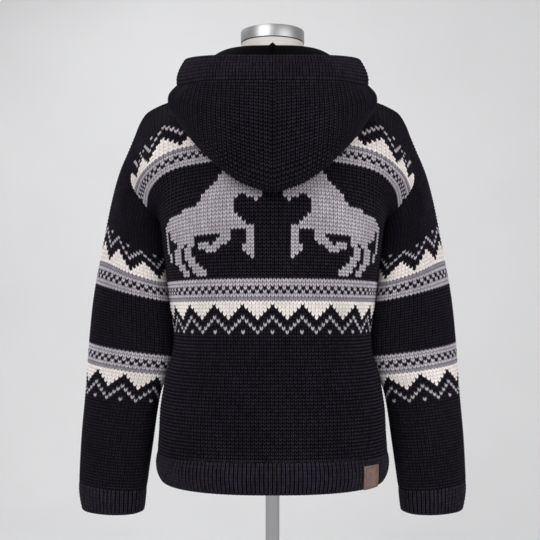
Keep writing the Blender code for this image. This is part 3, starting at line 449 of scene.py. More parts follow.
@dataclass
class Knit:
    """A knitted shell: a fine grid of points on the cloth, its stitches and their yarns."""

    name: str
    points: Grid
    out: Grid
    yarns: Grid
    relief: Relief = STOCKINETTE
    around: bool = False
    wall: float = WALL
    creases: Sequence[Crease] = ()

    def shaped(self) -> tuple[Grid, Grid]:
        """Outer stitch points and plain inner points."""
        rows, columns = self.points.shape[:2]
        base = self.points
        for crease in self.creases:
            base = base + crease.lift(self.points)[..., None] * self.out
        phase = np.arange(columns) % ACROSS
        slant = np.array(SLANT_SHARES)[phase] * self.relief.slant
        row = np.arange(rows)[:, None]
        fade = np.clip(np.minimum(row, rows - 1 - row) / 2.0, 0, 1)
        at = np.clip(row + (slant[None, :] - 0.5) * fade, 0, rows - 1)
        low = np.minimum(at.astype(int), rows - 2)
        part = (at - low)[..., None]
        column = np.arange(columns)[None, :]
        outer = base[low, column] * (1 - part) + base[low + 1, column] * part
        relief = self.relief
        levels = np.array([relief.edge, relief.leg, relief.middle, relief.leg])
        rise = levels[phase][None, :] + np.where(row % ALONG == 0, -1, 1) * relief.row
        outer = outer + (rise * (EDGE_RELIEF + (1 - EDGE_RELIEF) * fade))[..., None] * self.out
        inner = (base - self.wall * self.out)[::ALONG, ::ACROSS]
        return outer, inner

    def faces(self, rows: int, columns: int, inner_rows: int, inner_columns: int) -> list[Grid]:
        """Corner indices: outer quads, inner quads, and the strips that close the edges."""
        half = rows * columns
        turns = columns if self.around else columns - 1
        r, c = np.meshgrid(np.arange(rows - 1), np.arange(turns), indexing="ij")
        n = (c + 1) % columns
        outer = np.stack([r * columns + c, r * columns + n, (r + 1) * columns + n,
                          (r + 1) * columns + c], axis=-1).reshape(-1, 4)
        turns = inner_columns if self.around else inner_columns - 1
        r, c = np.meshgrid(np.arange(inner_rows - 1), np.arange(turns), indexing="ij")
        n = (c + 1) % inner_columns
        inner = half + np.stack([r * inner_columns + c, (r + 1) * inner_columns + c,
                                 (r + 1) * inner_columns + n, r * inner_columns + n],
                                axis=-1).reshape(-1, 4)
        edges = []
        for r, k in ((0, 0), (rows - 1, inner_rows - 1)):
            for c in range(turns):
                chain = [r * columns + (ACROSS * c + s) % columns for s in range(ACROSS + 1)]
                back = [half + k * inner_columns + (c + 1) % inner_columns,
                        half + k * inner_columns + c]
                edges.append((chain + back) if r else (chain + back)[::-1])
        if not self.around:
            for c, k in ((0, 0), (columns - 1, inner_columns - 1)):
                for r in range(inner_rows - 1):
                    chain = [(ALONG * r + s) * columns + c for s in range(ALONG + 1)]
                    back = [half + (r + 1) * inner_columns + k, half + r * inner_columns + k]
                    edges.append((chain + back)[::-1] if c else chain + back)
        return [outer, inner, edges]

    def build(self) -> bpy.types.Object:
        """The shell as an object with its yarn codes and a stitch map."""
        outer, inner = self.shaped()
        rows, columns = outer.shape[:2]
        quads, lining, edges = self.faces(rows, columns, *inner.shape[:2])
        loops = np.concatenate([quads.ravel(), lining.ravel(), np.concatenate(edges)])
        sizes = np.concatenate([np.full(len(quads) + len(lining), 4), [len(e) for e in edges]])
        corners = np.concatenate([outer.reshape(-1, 3), inner.reshape(-1, 3)])
        mesh = bpy.data.meshes.new(self.name)
        mesh.vertices.add(len(corners))
        mesh.vertices.foreach_set("co", corners.ravel())
        mesh.loops.add(len(loops))
        mesh.loops.foreach_set("vertex_index", loops.astype(np.int32))
        mesh.polygons.add(len(sizes))
        starts = np.concatenate([[0], np.cumsum(sizes)[:-1]])
        mesh.polygons.foreach_set("loop_start", starts.astype(np.int32))
        mesh.update(calc_edges=True)
        self.paint(mesh, rows, columns, len(quads), len(lining), loops)
        item = placed(self.name, mesh)
        form = bmesh.new()
        form.from_mesh(mesh)
        if form.calc_volume(signed=True) < 0:
            bmesh.ops.reverse_faces(form, faces=form.faces)
            form.to_mesh(mesh)
        form.free()
        smooth(mesh)
        return item

    def paint(self, mesh: bpy.types.Mesh, rows: int, columns: int, quads: int, lining: int,
              loops: Grid) -> None:
        """Write each face's yarn code and the stitch map.

        Args:
            mesh: the shell's mesh.
            rows: outer rows of points.
            columns: outer columns of points.
            quads: number of outer faces.
            lining: number of inner faces.
            loops: point of each face corner.
        """
        turns = columns if self.around else columns - 1
        shade = np.repeat(np.repeat(self.yarns, ALONG, axis=0), ACROSS, axis=1)
        shade = shade[:rows - 1, :turns].ravel()
        rest = np.zeros(len(mesh.polygons) - quads - lining)
        codes = np.concatenate([shade, self.yarns.ravel()[:lining], rest])
        layer = mesh.attributes.new("yarn", "FLOAT", "FACE")
        layer.data.foreach_set("value", codes.astype(np.float32))
        spot = np.minimum(loops, rows * columns - 1)
        u = (spot % columns) / ACROSS
        v = (spot // columns) / ALONG
        chart = mesh.uv_layers.new(name="stitch")
        chart.data.foreach_set("uv", np.stack([u, v], axis=1).ravel().astype(np.float32))


def smooth(mesh: bpy.types.Mesh) -> None:
    """Shade every face of the mesh smooth."""
    mesh.polygons.foreach_set("use_smooth", np.ones(len(mesh.polygons), bool))


def mesh_of(name: str, form: bmesh.types.BMesh) -> bpy.types.Mesh:
    """A new mesh of the form, which is freed."""
    mesh = bpy.data.meshes.new(name)
    form.to_mesh(mesh)
    form.free()
    return mesh


def placed(name: str, mesh: bpy.types.Mesh) -> bpy.types.Object:
    """A new object of the mesh, in the scene."""
    item = bpy.data.objects.new(name, mesh)
    bpy.context.scene.collection.objects.link(item)
    return item


def band_code(row: int, column: int) -> int:
    """Yarn code in the banded pattern: row 1 at its top, column 0 at a black peak."""
    step = column % BAND_REPEAT
    d = min(step, BAND_REPEAT - step)
    if row in (1, 2, 5):
        return Yarn.GREY.value
    if row in (3, 4):
        return Yarn.BLACK.value if step % 2 == row - 3 else Yarn.GREY.value
    if row == 6:
        return Yarn.MID.value
    if row <= 7 + d:
        return Yarn.CREAM.value
    if row == 11 + d or (d == 0 and row == BAND_ROWS):
        return Yarn.GREY.value
    return Yarn.BLACK.value


def lay_band(yarns: Grid, foot: int, columns: Grid, grey_on_top: bool) -> None:
    """Write the banded pattern into a chart.

    Args:
        yarns: the chart, a row of stitches from the foot up.
        foot: the band's lowest row.
        columns: each column's number from the pattern's middle.
        grey_on_top: True where the cream points hang down.
    """
    for k in range(BAND_ROWS):
        row = BAND_ROWS - k if grey_on_top else k + 1
        yarns[foot + k] = [band_code(row, int(column)) for column in columns]


def lay_horse(yarns: Grid, columns: Grid) -> None:
    """Write a horse on both sides of the middle, heads towards it."""
    place = {int(column): k for k, column in enumerate(columns)}
    for k, spans in enumerate(HORSE):
        for first, last in spans:
            for spot in range(first, last + 1):
                for column in (HORSE_START - spot, spot - HORSE_START):
                    yarns[HORSE_FOOT + k, place[column]] = Yarn.GREY.value


class Nodes:
    """Short ways to add and join shader nodes."""

    def __init__(self, name: str) -> None:
        """Start a material with its Principled shader."""
        self.material = bpy.data.materials.new(name)
        self.material.use_nodes = True
        self.tree = self.material.node_tree
        self.shader = self.tree.nodes["Principled BSDF"]

    def add(self, kind: str, **values: object) -> bpy.types.Node:
        """Add a node and set its properties, or its inputs where no property has the name."""
        node = self.tree.nodes.new(kind)
        for key, value in values.items():
            if hasattr(node, key):
                setattr(node, key, value)
            else:
                node.inputs[key.replace("_", " ")].default_value = value
        return node

    def surface(self, **values: float) -> None:
        """Set the shader's inputs by their names, with underscores for spaces."""
        for key, value in values.items():
            self.shader.inputs[key.replace("_", " ")].default_value = value

    def join(self, source: bpy.types.NodeSocket, target: bpy.types.NodeSocket) -> None:
        """Link an output to an input."""
        self.tree.links.new(source, target)

    def math(self, operation: str, first: object, second: object) -> bpy.types.NodeSocket:
        """A Math node on two sockets or numbers; its result."""
        node = self.add("ShaderNodeMath", operation=operation)
        for k, value in enumerate((first, second)):
            if isinstance(value, bpy.types.NodeSocket):
                self.join(value, node.inputs[k])
            else:
                node.inputs[k].default_value = value
        return node.outputs[0]

    def noise(self, scale: float, detail: float, place: Optional[bpy.types.NodeSocket] = None
              ) -> bpy.types.NodeSocket:
        """Noise in object coordinates, or in the place given; its factor."""
        node = self.add("ShaderNodeTexNoise", Scale=scale, Detail=detail)
        if place is None:
            place = self.add("ShaderNodeTexCoord").outputs["Object"]
        self.join(place, node.inputs["Vector"])
        return node.outputs[0]

    def ramp(self, factor: bpy.types.NodeSocket, stops: Sequence[tuple[float, tuple]],
             steps: bool = False) -> bpy.types.NodeSocket:
        """A colour ramp; its colour."""
        node = self.add("ShaderNodeValToRGB")
        node.color_ramp.interpolation = "CONSTANT" if steps else "LINEAR"
        while len(node.color_ramp.elements) < len(stops):
            node.color_ramp.elements.new(0.5)
        for element, (place, colour) in zip(node.color_ramp.elements, stops):
            element.position = place
            element.color = (*colour, 1.0)
        self.join(factor, node.inputs[0])
        return node.outputs[0]

    def mixed(self, kind: str, factor: object, first: object, second: object
              ) -> bpy.types.NodeSocket:
        """A colour mix of two sockets or colours; its colour."""
        node = self.add("ShaderNodeMix", data_type="RGBA", blend_type=kind)
        for k, value in ((0, factor), (6, first), (7, second)):
            if isinstance(value, bpy.types.NodeSocket):
                self.join(value, node.inputs[k])
            else:
                node.inputs[k].default_value = value if k == 0 else (*value, 1.0)
        return node.outputs[2]

    def bump(self, height: bpy.types.NodeSocket, strength: float, distance: float,
             before: Optional[bpy.types.NodeSocket] = None) -> bpy.types.NodeSocket:
        """A bump; its normal."""
        node = self.add("ShaderNodeBump", Strength=strength, Distance=distance)
        self.join(height, node.inputs["Height"])
        if before is not None:
            self.join(before, node.inputs["Normal"])
        return node.outputs[0]


def linear(colour: Sequence[float]) -> tuple:
    """Scene colour of a screen colour given from 0 to 255."""
    return tuple(((c / 255 + 0.055) / 1.055) ** 2.4 if c > 10 else c / 255 / 12.92 for c in colour)


def even(level: float) -> tuple[float, float, float]:
    """The neutral colour of a level."""
    return (level,) * 3


@dataclass(frozen=True)
class WoolFinish:
    """Chunky wool: four yarns, twisted plies in each leg, flecks, a soft nap, and painted shade in
    the grooves between legs and rows with painted highlights on the legs' crests.
    """

    name: str = "wool"
    black: tuple = (27, 24, 31)
    grey: tuple = (181, 175, 183)
    mid: tuple = (140, 137, 145)
    cream: tuple = (255, 246, 243)
    plies: float = 2.0
    fuzz: float = 0.0009
    # How much painted shade darkens the rib grooves at the column edges
    groove_shade: float = 0.0
    # How much of the painted shade darkens the dip between rows of stitches
    rows: float = 0.85
    fleck_scale: float = 900.0
    fleck_share: float = 0.62
    patch_scale: float = 14.0
    leg_turn: float = 2.2
    leg_height: float = 0.0009
    ply_height: float = 0.00035

    def material(self) -> bpy.types.Material:
        """The wool material."""
        kit = Nodes(self.name)
        code = kit.add("ShaderNodeAttribute", attribute_name="yarn").outputs["Fac"]
        code = kit.math("DIVIDE", code, 4.0)
        stops = [(0.0, linear(self.black)), (0.2, linear(self.grey)), (0.45, linear(self.mid)),
                 (0.7, linear(self.cream))]
        colour = kit.ramp(code, stops, steps=True)
        stitch = kit.add("ShaderNodeUVMap", uv_map="stitch").outputs[0]
        split = kit.add("ShaderNodeSeparateXYZ")
        kit.join(stitch, split.inputs[0])
        u, v = split.outputs[0], split.outputs[1]
        leg = kit.math("PINGPONG", u, 0.5)
        twist = kit.math("ADD", kit.math("MULTIPLY", v, self.plies),
                         kit.math("MULTIPLY", leg, self.leg_turn))
        ply = kit.math("SINE", kit.math("MULTIPLY", twist, 2 * math.pi), 0.0)
        round_leg = kit.math("MULTIPLY", kit.math("PINGPONG", u, 0.25), 4.0)
        fleck = kit.noise(self.fleck_scale, 3.0)
        patch = kit.noise(self.patch_scale, 3.0)
        cloud = kit.math("ADD", kit.math("MULTIPLY", fleck, self.fleck_share),
                         kit.math("MULTIPLY", patch, 1.0 - self.fleck_share))
        shade = kit.ramp(cloud, [(0.30, even(0.62)), (0.70, even(1.28))])
        colour = kit.mixed("MULTIPLY", 1.0, colour, shade)
        # Painted shade and highlight: the grooves between legs and between rows are painted dark,
        # the legs' crests painted bright
        dip = kit.math("MULTIPLY", kit.math("PINGPONG", v, 0.5), 2.0)
        heart = kit.math("MULTIPLY", leg, 1.1)
        across_leg = kit.math("POWER", kit.math("MAXIMUM", round_leg, heart), 0.8)
        along_leg = kit.math("MULTIPLY", kit.math("POWER", dip, 0.8), self.rows)
        along_leg = kit.math("ADD", along_leg, 1.0 - self.rows)
        depth = kit.math("MULTIPLY", across_leg, along_leg)
        painted_shade_and_tone = kit.ramp(depth, [(0.0, even(0.02)), (0.30, even(0.22)), (0.85, even(2.7))])
        # Painted shade for the pale yarns: grooves darker, crests a touch brighter
        light = kit.ramp(depth, [(0.0, (0.50, 0.48, 0.48)), (0.35, even(0.88)),
                                 (0.95, even(1.06))])
        pale = kit.ramp(code, [(0.0, even(0.0)), (0.2, even(0.68)), (0.7, even(1.0))], steps=True)
        painted_shade_and_tone = kit.mixed("MIX", pale, painted_shade_and_tone, light)
        # A random tone for each stitch, multiplied into the painted shade
        cell = kit.add("ShaderNodeCombineXYZ")
        kit.join(kit.math("FLOOR", kit.math("MULTIPLY", u, 2.0), 0.0), cell.inputs[0])
        kit.join(kit.math("FLOOR", v, 0.0), cell.inputs[1])
        chance = kit.add("ShaderNodeTexWhiteNoise", noise_dimensions="3D")
        kit.join(cell.outputs[0], chance.inputs["Vector"])
        uneven = kit.ramp(chance.outputs["Value"], [(0.0, even(0.70)), (1.0, even(1.30))])
        uneven = kit.mixed("MIX", kit.math("MULTIPLY", pale, 0.8), uneven, even(1.0))
        painted_shade_and_tone = kit.mixed("MULTIPLY", 1.0, painted_shade_and_tone, uneven)
        # Painted shade at the rib's column edges and a painted highlight towards each stitch's
        # middle
        if self.groove_shade:
            rib = kit.ramp(kit.math("MULTIPLY", leg, 2.0),
                           [(0.05, even(1.0 - self.groove_shade)), (0.6, even(1.25))])
            painted_shade_and_tone = kit.mixed("MULTIPLY", 1.0, painted_shade_and_tone, rib)
        colour = kit.mixed("MULTIPLY", 1.0, colour, painted_shade_and_tone)
        kit.join(colour, kit.shader.inputs["Base Color"])
        kit.surface(Roughness=0.92, Specular_IOR_Level=0.05, Sheen_Weight=0.01,
                    Sheen_Roughness=0.6)
        form = kit.bump(round_leg, 0.6, self.leg_height)
        form = kit.bump(ply, 0.35, self.ply_height, form)
        form = kit.bump(fleck, 0.5, self.fuzz, form)
        kit.join(form, kit.shader.inputs["Normal"])
        return kit.material


@dataclass(frozen=True)
class WovenFinish:
    """A plain weave: fine crossing threads with slubs."""

    name: str
    colour: tuple
    pitch: float
    depth: float = 0.00015
    slub: float = 0.12
    stretch: tuple[float, float, float] = (30.0, 30.0, 420.0)

    def material(self) -> bpy.types.Material:
        """The woven material."""
        kit = Nodes(self.name)
        place = kit.add("ShaderNodeTexCoord").outputs["Object"]
        split = kit.add("ShaderNodeSeparateXYZ")
        kit.join(place, split.inputs[0])
        turn = 2 * math.pi / self.pitch
        rise = kit.math("SINE", kit.math("MULTIPLY", split.outputs[2], turn), 0.0)
        side = kit.math("ADD", split.outputs[0], split.outputs[1])
        run = kit.math("SINE", kit.math("MULTIPLY", side, turn), 0.0)
        weave = kit.math("MULTIPLY", rise, run)
        long_noise = kit.add("ShaderNodeMapping")
        long_noise.inputs["Scale"].default_value = self.stretch
        kit.join(place, long_noise.inputs["Vector"])
        slubs = kit.noise(1.0, 4.0, long_noise.outputs[0])
        low, high = 1.0 - self.slub, 1.0 + self.slub
        shade = kit.ramp(slubs, [(0.35, even(low)), (0.65, even(high))])
        colour = kit.mixed("MULTIPLY", 1.0, linear(self.colour), shade)
        kit.join(colour, kit.shader.inputs["Base Color"])
        kit.surface(Roughness=0.85, Specular_IOR_Level=0.25)
        kit.join(kit.bump(weave, 0.4, self.depth, kit.bump(slubs, 0.3, self.depth)),
                 kit.shader.inputs["Normal"])
        return kit.material


@dataclass(frozen=True)
class SteelFinish:
    """Brushed steel with fine rings and light smudges."""

    name: str
    colour: tuple
    roughness: float = 0.34
    brushing: tuple[float, float, float] = (12.0, 12.0, 2200.0)

    def material(self) -> bpy.types.Material:
        """The steel material."""
        kit = Nodes(self.name)
        place = kit.add("ShaderNodeTexCoord").outputs["Object"]
        lines = kit.add("ShaderNodeMapping")
        lines.inputs["Scale"].default_value = self.brushing
        kit.join(place, lines.inputs["Vector"])
        brush = kit.noise(1.0, 3.0, lines.outputs[0])
        smudge = kit.noise(22.0, 4.0)
        shade = kit.ramp(brush, [(0.3, even(0.86)), (0.7, even(1.0))])
        kit.join(kit.mixed("MULTIPLY", 1.0, linear(self.colour), shade),
                 kit.shader.inputs["Base Color"])
        rough = kit.math("ADD", kit.math("MULTIPLY", smudge, 0.16), self.roughness - 0.08)
        kit.join(rough, kit.shader.inputs["Roughness"])
        kit.surface(Metallic=1.0)
        kit.join(kit.bump(brush, 0.15, 0.00008), kit.shader.inputs["Normal"])
        return kit.material


@dataclass(frozen=True)
class LeatherFinish:
    """Bare brown leather with a grain and a blotchy tone."""

    name: str = "leather"
    colour: tuple = (118, 94, 86)
    grain_scale: float = 1100.0

    def material(self) -> bpy.types.Material:
        """The leather material."""
        kit = Nodes(self.name)
        place = kit.add("ShaderNodeTexCoord").outputs["Object"]
        grain = kit.add("ShaderNodeTexVoronoi", Scale=self.grain_scale)
        kit.join(place, grain.inputs["Vector"])
        cloud = kit.noise(120.0, 4.0)
        shade = kit.ramp(cloud, [(0.3, (0.72, 0.70, 0.68)), (0.7, (1.2, 1.18, 1.15))])
        kit.join(kit.mixed("MULTIPLY", 1.0, linear(self.colour), shade),
                 kit.shader.inputs["Base Color"])
        kit.surface(Roughness=0.55)
        kit.join(kit.bump(grain.outputs["Distance"], 0.4, 0.00025), kit.shader.inputs["Normal"])
        return kit.material


def declare(item: bpy.types.Object, nodes: Sequence[str], body: str = "jacket_and_form"
            ) -> None:
    """Tie a finished piece to its body, hide its solids, and report it."""
    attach(item, body)
    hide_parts(*nodes)
    LOG.info("%s: %d faces", item.name, len(item.data.polygons))


def turned(name: str, profile: Sequence[tuple[float, float]], steps: int = 128
           ) -> bpy.types.Object:
    """A closed turned solid about the Z axis.

    Args:
        name: the piece's name.
        profile: radius and height of its outline, from the bottom up.
        steps: faces round it.

    Returns:
        The piece, shaded smooth with its hard edges kept.
    """
    form = bmesh.new()
    chain = [(0.0, profile[0][1])] + list(profile) + [(0.0, profile[-1][1])]
    points = [form.verts.new((radius, 0.0, height)) for radius, height in chain]
    edges = [form.edges.new(pair) for pair in zip(points, points[1:])]
    bmesh.ops.spin(form, geom=points + edges, axis=(0, 0, 1), cent=(0, 0, 0),
                   angle=2 * math.pi, steps=steps, use_duplicate=False)
    bmesh.ops.remove_doubles(form, verts=form.verts, dist=1e-6)
    bmesh.ops.recalc_face_normals(form, faces=form.faces)
    mesh = mesh_of(name, form)
    smooth(mesh)
    mesh.set_sharp_from_angle(angle=math.radians(40))
    return placed(name, mesh)


def even_shares(run: Grid, count: int) -> Grid:
    """Positions, counted in knots, at even steps of a running length."""
    return np.interp(np.linspace(0, run[-1], count), run, np.arange(len(run)))


def across(rows: Grid, knots: Grid, at: Grid) -> Grid:
    """Rows of points read at positions across them."""
    return spline(knots, rows.transpose(1, 0, 2), at).transpose(1, 0, 2)


@dataclass
class Body:
    """The back and the two fronts."""

    finish: bpy.types.Material
    creases: Sequence[Crease] = ()
    back_flat: tuple[float, float] = (0.545, 0.60)
    back_area: float = 0.32
    front_flat: tuple[float, float] = (0.27, 0.60)
    front_area: float = 0.155

    def heights(self, run: Grid) -> Grid:
        """Heights of the fine rows, even below the underarm and above it."""
        underarm = run[len(BODY_SECTIONS) - 1]
        rows = np.linspace(0, LOW_STITCHES, ALONG * LOW_STITCHES + 1)
        low = underarm * np.interp(rows, (0, BOW_ROW, LOW_STITCHES), (0, BOW_SHARE, 1))
        high = np.linspace(underarm, run[-1], ALONG * HIGH_STITCHES + 1)
        return np.concatenate([low, high[1:]])

    def back_grid(self) -> tuple[Grid, Grid]:
        """Fine points and directions of the whole back."""
        run, rows = body_table(False)
        rows = spline(run, rows, self.heights(run))
        whole = np.concatenate([mirrored(rows)[:, :0:-1], rows], axis=1)
        at = np.linspace(-1, 1, ACROSS * (2 * BODY_COLUMNS + 1) + 1)
        points = self.droop(self.spread(whole, np.linspace(-1, 1, whole.shape[1]), at), at)
        centre = points.mean(axis=1, keepdims=True) * np.array([0.0, 0.0, 1.0])
        return points, facing(points, centre)

    def droop(self, points: Grid, at: Grid) -> Grid:
        """The yoke's rows lowered along their own cloth towards the armholes."""
        row = np.arange(len(points)) / ALONG
        fall = np.interp(row, DROOP_ROWS, DROOP_FALL)
        outer = np.clip((np.abs(at) - DROOP_FROM) / (1 - DROOP_FROM), 0, 1) ** 2
        for c in np.nonzero(outer)[0]:
            points[:, c] = spline(row, points[:, c], row - fall * outer[c])
        return points

    def spread(self, rows: Grid, knots: Grid, at: Grid) -> Grid:
        """Rows of points with the upper rows' stitches eased outward from the middle."""
        wide = np.sign(at) * spline(SPREAD_AT, np.array(SPREAD_TO), np.abs(at))
        row = np.arange(len(rows)) / ALONG
        share = np.clip((row - SPREAD_ROWS[0]) / (SPREAD_ROWS[1] - SPREAD_ROWS[0]), 0, 1)
        share = share[:, None, None]
        return (1 - share) * across(rows, knots, at) + share * across(rows, knots, wide)

    def front_grid(self) -> tuple[Grid, Grid]:
        """Fine points and directions of the left front."""
        run, rows = body_table(True)
        width = lengths(rows[0])[-1]
        rows = spline(run, rows, self.heights(run))
        at = np.linspace(FRONT_EDGE / width, 1, ACROSS * BODY_COLUMNS + 1)
        points = self.droop(across(rows, np.linspace(0, 1, rows.shape[1]), at), at)
        centre = points.mean(axis=1, keepdims=True) * np.array([0.0, 0.0, 1.0])
        return points, facing(points, centre)

    def chart(self, columns: Grid, horses: bool) -> Grid:
        """The body's chart: both bands and, behind, the two horses."""
        yarns = np.zeros((LOW_STITCHES + HIGH_STITCHES, len(columns)), int)
        lay_band(yarns, MAIN_BAND_TOP - BAND_ROWS + 1, columns, True)
        lay_band(yarns, YOKE_BAND_FOOT, columns, False)
        if horses:
            lay_horse(yarns, columns)
        return yarns

    def build(self) -> None:
        """Make the three panels."""
        points, out = self.back_grid()
        columns = np.arange(-BODY_COLUMNS, BODY_COLUMNS + 1)
        back = Knit("back_knit", points, out, self.chart(columns, True), creases=self.creases)
        self.dress(back.build(), "back")
        points, out = self.front_grid()
        chart = self.chart(np.arange(1, BODY_COLUMNS + 1), False)
        for side, turn in SIDES:
            panel = Knit(f"front_{side}_knit", points * turn, out * turn, chart,
                         creases=self.creases)
            self.dress(panel.build(), f"front_{side}")

    def dress(self, item: bpy.types.Object, node: str) -> None:
        item.data.materials.append(self.finish)
        declare(item, [node])


@dataclass
class Sleeves:
    """The two sleeves."""

    finish: bpy.types.Material
    body: Body
    creases: Sequence[Crease] = ()
    upper_foot: int = 64
    lower_foot: int = 29
    flat: tuple[float, float] = (0.40, 0.60)
    area: float = 0.21

    def grid(self) -> tuple[Grid, Grid]:
        """Fine points and directions of the left sleeve, from the cuff up to the armhole."""
        first = ALONG * LOW_STITCHES
        back = self.body.back_grid()[0][first:, -1]
        front = self.body.front_grid()[0][first:, -1]
        loop = np.concatenate([back, front[-2::-1]])
        columns = ACROSS * SLEEVE_COLUMNS
        turn = 2 * math.pi * np.arange(columns) / columns
        rings = [resampled(loop, columns + 1)[:-1]]
        rings += [full_ring(ring, columns) for ring in SLEEVE_RINGS]
        table = np.array(rings)
        run = lengths(table.mean(axis=1))
        row = np.linspace(0, SLEEVE_STITCHES, ALONG * SLEEVE_STITCHES + 1)
        fine = np.linspace(run[-1], 0, 400)
        sides = []
        for place, heights in ((0, SLEEVE_INNER), (columns // 2, SLEEVE_OUTER)):
            level = spline(run, table[:, place], fine)[:, 2]
            aim = spline(SLEEVE_ROWS, np.array(heights), row)
            aim = level[0] + (aim - aim[0]) * (level[-1] - level[0]) / (aim[-1] - aim[0])
            sides.append(np.interp(aim, level, fine))
        share = 0.5 - 0.5 * np.cos(turn)
        points = np.empty((len(row), columns, 3))
        for c in range(columns):
            points[:, c] = spline(run, table[:, c],
                                  (1 - share[c]) * sides[0] + share[c] * sides[1])
        return points, facing(points, points.mean(axis=1, keepdims=True), around=True)

    def chart(self) -> Grid:
        """The sleeve's chart: a band at the elbow and one below the shoulder."""
        columns = np.arange(SLEEVE_COLUMNS) - SLEEVE_COLUMNS // 2
        yarns = np.zeros((SLEEVE_STITCHES, SLEEVE_COLUMNS), int)
        lay_band(yarns, self.lower_foot, columns, True)
        lay_band(yarns, self.upper_foot, columns, False)
        return yarns

    def build(self) -> None:
        """Make both sleeves."""
        points, out = self.grid()
        for side, turn in SIDES:
            sleeve = Knit(f"sleeve_{side}_knit", points * turn, out * turn, self.chart(),
                          around=True, creases=self.creases)
            item = sleeve.build()
            item.data.materials.append(self.finish)
            declare(item, [f"sleeve_{side}"])


@dataclass
class Hood:
    """The hood's two halves and its ribbed brim."""

    finish: bpy.types.Material
    rib: bpy.types.Material
    creases: Sequence[Crease] = ()
    seam_dip: float = 0.0050
    seam_reach: float = 0.0026
    flat: tuple[float, float] = (0.34, 0.54)
    area: float = 0.125
    brim_flat: tuple[float, float] = (0.86, 0.045)
    brim_swell: tuple[float, float] = (0.0035, 0.004)

    def half(self) -> tuple[Grid, Grid]:
        """Fine points and directions of the left half, from the neck to the brim's seam."""
        table = np.array(HOOD_STATIONS, float)
        down = lengths(table[:5].mean(axis=0))
        round_edge = 0.5 * (lengths(table[:, 0]) + lengths(table[:, -1]))
        points = spline(np.arange(8), table, even_shares(round_edge, ACROSS * HOOD_COLUMNS + 1))
        points = across(points, np.arange(8), even_shares(down, ALONG * HOOD_STITCHES + 1))
        points = points.transpose(1, 0, 2)
        points[:, 0, 0] = -HALF_SEAM
        out = facing(points, np.zeros(3))
        if out[-ALONG * 8, 0, 1] < 0:
            out = -out
        out[:, 0, 0] = 0.0
        out = unit(out)
        dip = self.seam_dip * np.exp(-(points[..., :1] / self.seam_reach) ** 2)
        return points - dip * out, out

    def brim(self) -> tuple[Grid, Grid]:
        """Fine points and directions of the whole brim, from its seam to its edge."""
        table = np.array(HOOD_STATIONS, float)
        at = even_shares(lengths(table[:, -1]), ACROSS * BRIM_COLUMNS + 1)
        low = spline(np.arange(8), table[:, -1], at)
        top = spline(np.arange(8), np.array(BRIM_TOPS, float), at)
        up = unit(top - low)
        side = np.gradient(low, axis=0)
        side[0] = np.array([1.0, 0.0, 0.0])
        out = unit(np.cross(up, side))
        if out[0, 1] < 0:
            out = -out
        rows = np.stack([low, 0.75 * low + 0.25 * top + self.brim_swell[0] * out,
                         0.5 * (low + top) + self.brim_swell[1] * out, top])
        rows = spline([0, 0.25, 0.5, 1], rows, np.linspace(0, 1, ALONG * BRIM_STITCHES + 1))
        points = np.concatenate([mirrored(rows)[:, :0:-1], rows], axis=1)
        outs = np.concatenate([mirrored(out)[:0:-1], out])
        return points, np.repeat(outs[None], len(points), axis=0)

    def build(self) -> None:
        """Make the halves and the brim."""
        points, out = self.half()
        chart = np.zeros((HOOD_STITCHES, HOOD_COLUMNS), int)
        for side, turn in SIDES:
            item = Knit(f"hood_{side}_knit", points * turn, out * turn, chart,
                        creases=self.creases).build()
            item.data.materials.append(self.finish)
            declare(item, [f"hood_{side}"])
        points, out = self.brim()
        chart = np.zeros((BRIM_STITCHES, 2 * BRIM_COLUMNS), int)
        item = Knit("hood_brim_knit", points, out, chart, FINE_RIB).build()
        item.data.materials.append(self.rib)
        declare(item, ["hood_brim"])


@dataclass
class Ribs:
    """The hem rib and the two cuffs."""

    finish: bpy.types.Material
    hem_flat: tuple[float, float] = (1.10, 0.056)
    cuff_flat: tuple[float, float] = (0.29, 0.045)

    def hem_rows(self) -> Grid:
        """The hem's four rows from its foot up, from the front opening to the back's middle."""
        rows = []
        for section in HEM_SECTIONS[::-1]:
            whole = np.concatenate([quarter(section, True), quarter(section, False)[-2::-1]])
            run = lengths(whole)
            at = np.linspace(FRONT_EDGE, run[-1], 400)
            rows.append(np.stack([np.interp(at, run, whole[:, k]) for k in range(3)], axis=1))
        return np.array(rows)

    def hem(self) -> tuple[Grid, Grid]:
        """Fine points and directions of the whole hem."""
        half = self.hem_rows()
        whole = np.concatenate([half, mirrored(half)[:, -2::-1]], axis=1)
        at = np.linspace(0, 1, ACROSS * 2 * HEM_COLUMNS + 1)
        points = across(whole, np.linspace(0, 1, whole.shape[1]), at)
        points = spline(np.arange(4), points, np.linspace(0, 3, ALONG * HEM_STITCHES + 1))
        return points, facing(points, np.array(HEM_CENTRE))

    def cuff(self) -> tuple[Grid, Grid]:
        """Fine points and directions of the left cuff, from its foot up."""
        table = np.array([full_ring(ring, ACROSS * CUFF_COLUMNS) for ring in CUFF_RINGS])[::-1]
        run = lengths(table.mean(axis=1))
        points = spline(run, table, np.linspace(0, run[-1], ALONG * CUFF_STITCHES + 1))
        return points, facing(points, points.mean(axis=1, keepdims=True), around=True)

    def build(self) -> None:
        """Make the hem and the cuffs."""
        points, out = self.hem()
        chart = np.zeros((HEM_STITCHES, 2 * HEM_COLUMNS), int)
        item = Knit("hem_knit", points, out, chart, RIB, wall=RIB_WALL).build()
        item.data.materials.append(self.finish)
        declare(item, ["hem_rib"])
        points, out = self.cuff()
        chart = np.zeros((CUFF_STITCHES, CUFF_COLUMNS), int)
        for side, turn in SIDES:
            item = Knit(f"cuff_{side}_knit", points * turn, out * turn, chart, RIB, around=True,
                        wall=RIB_WALL).build()
            item.data.materials.append(self.finish)
            declare(item, [f"cuff_{side}"])


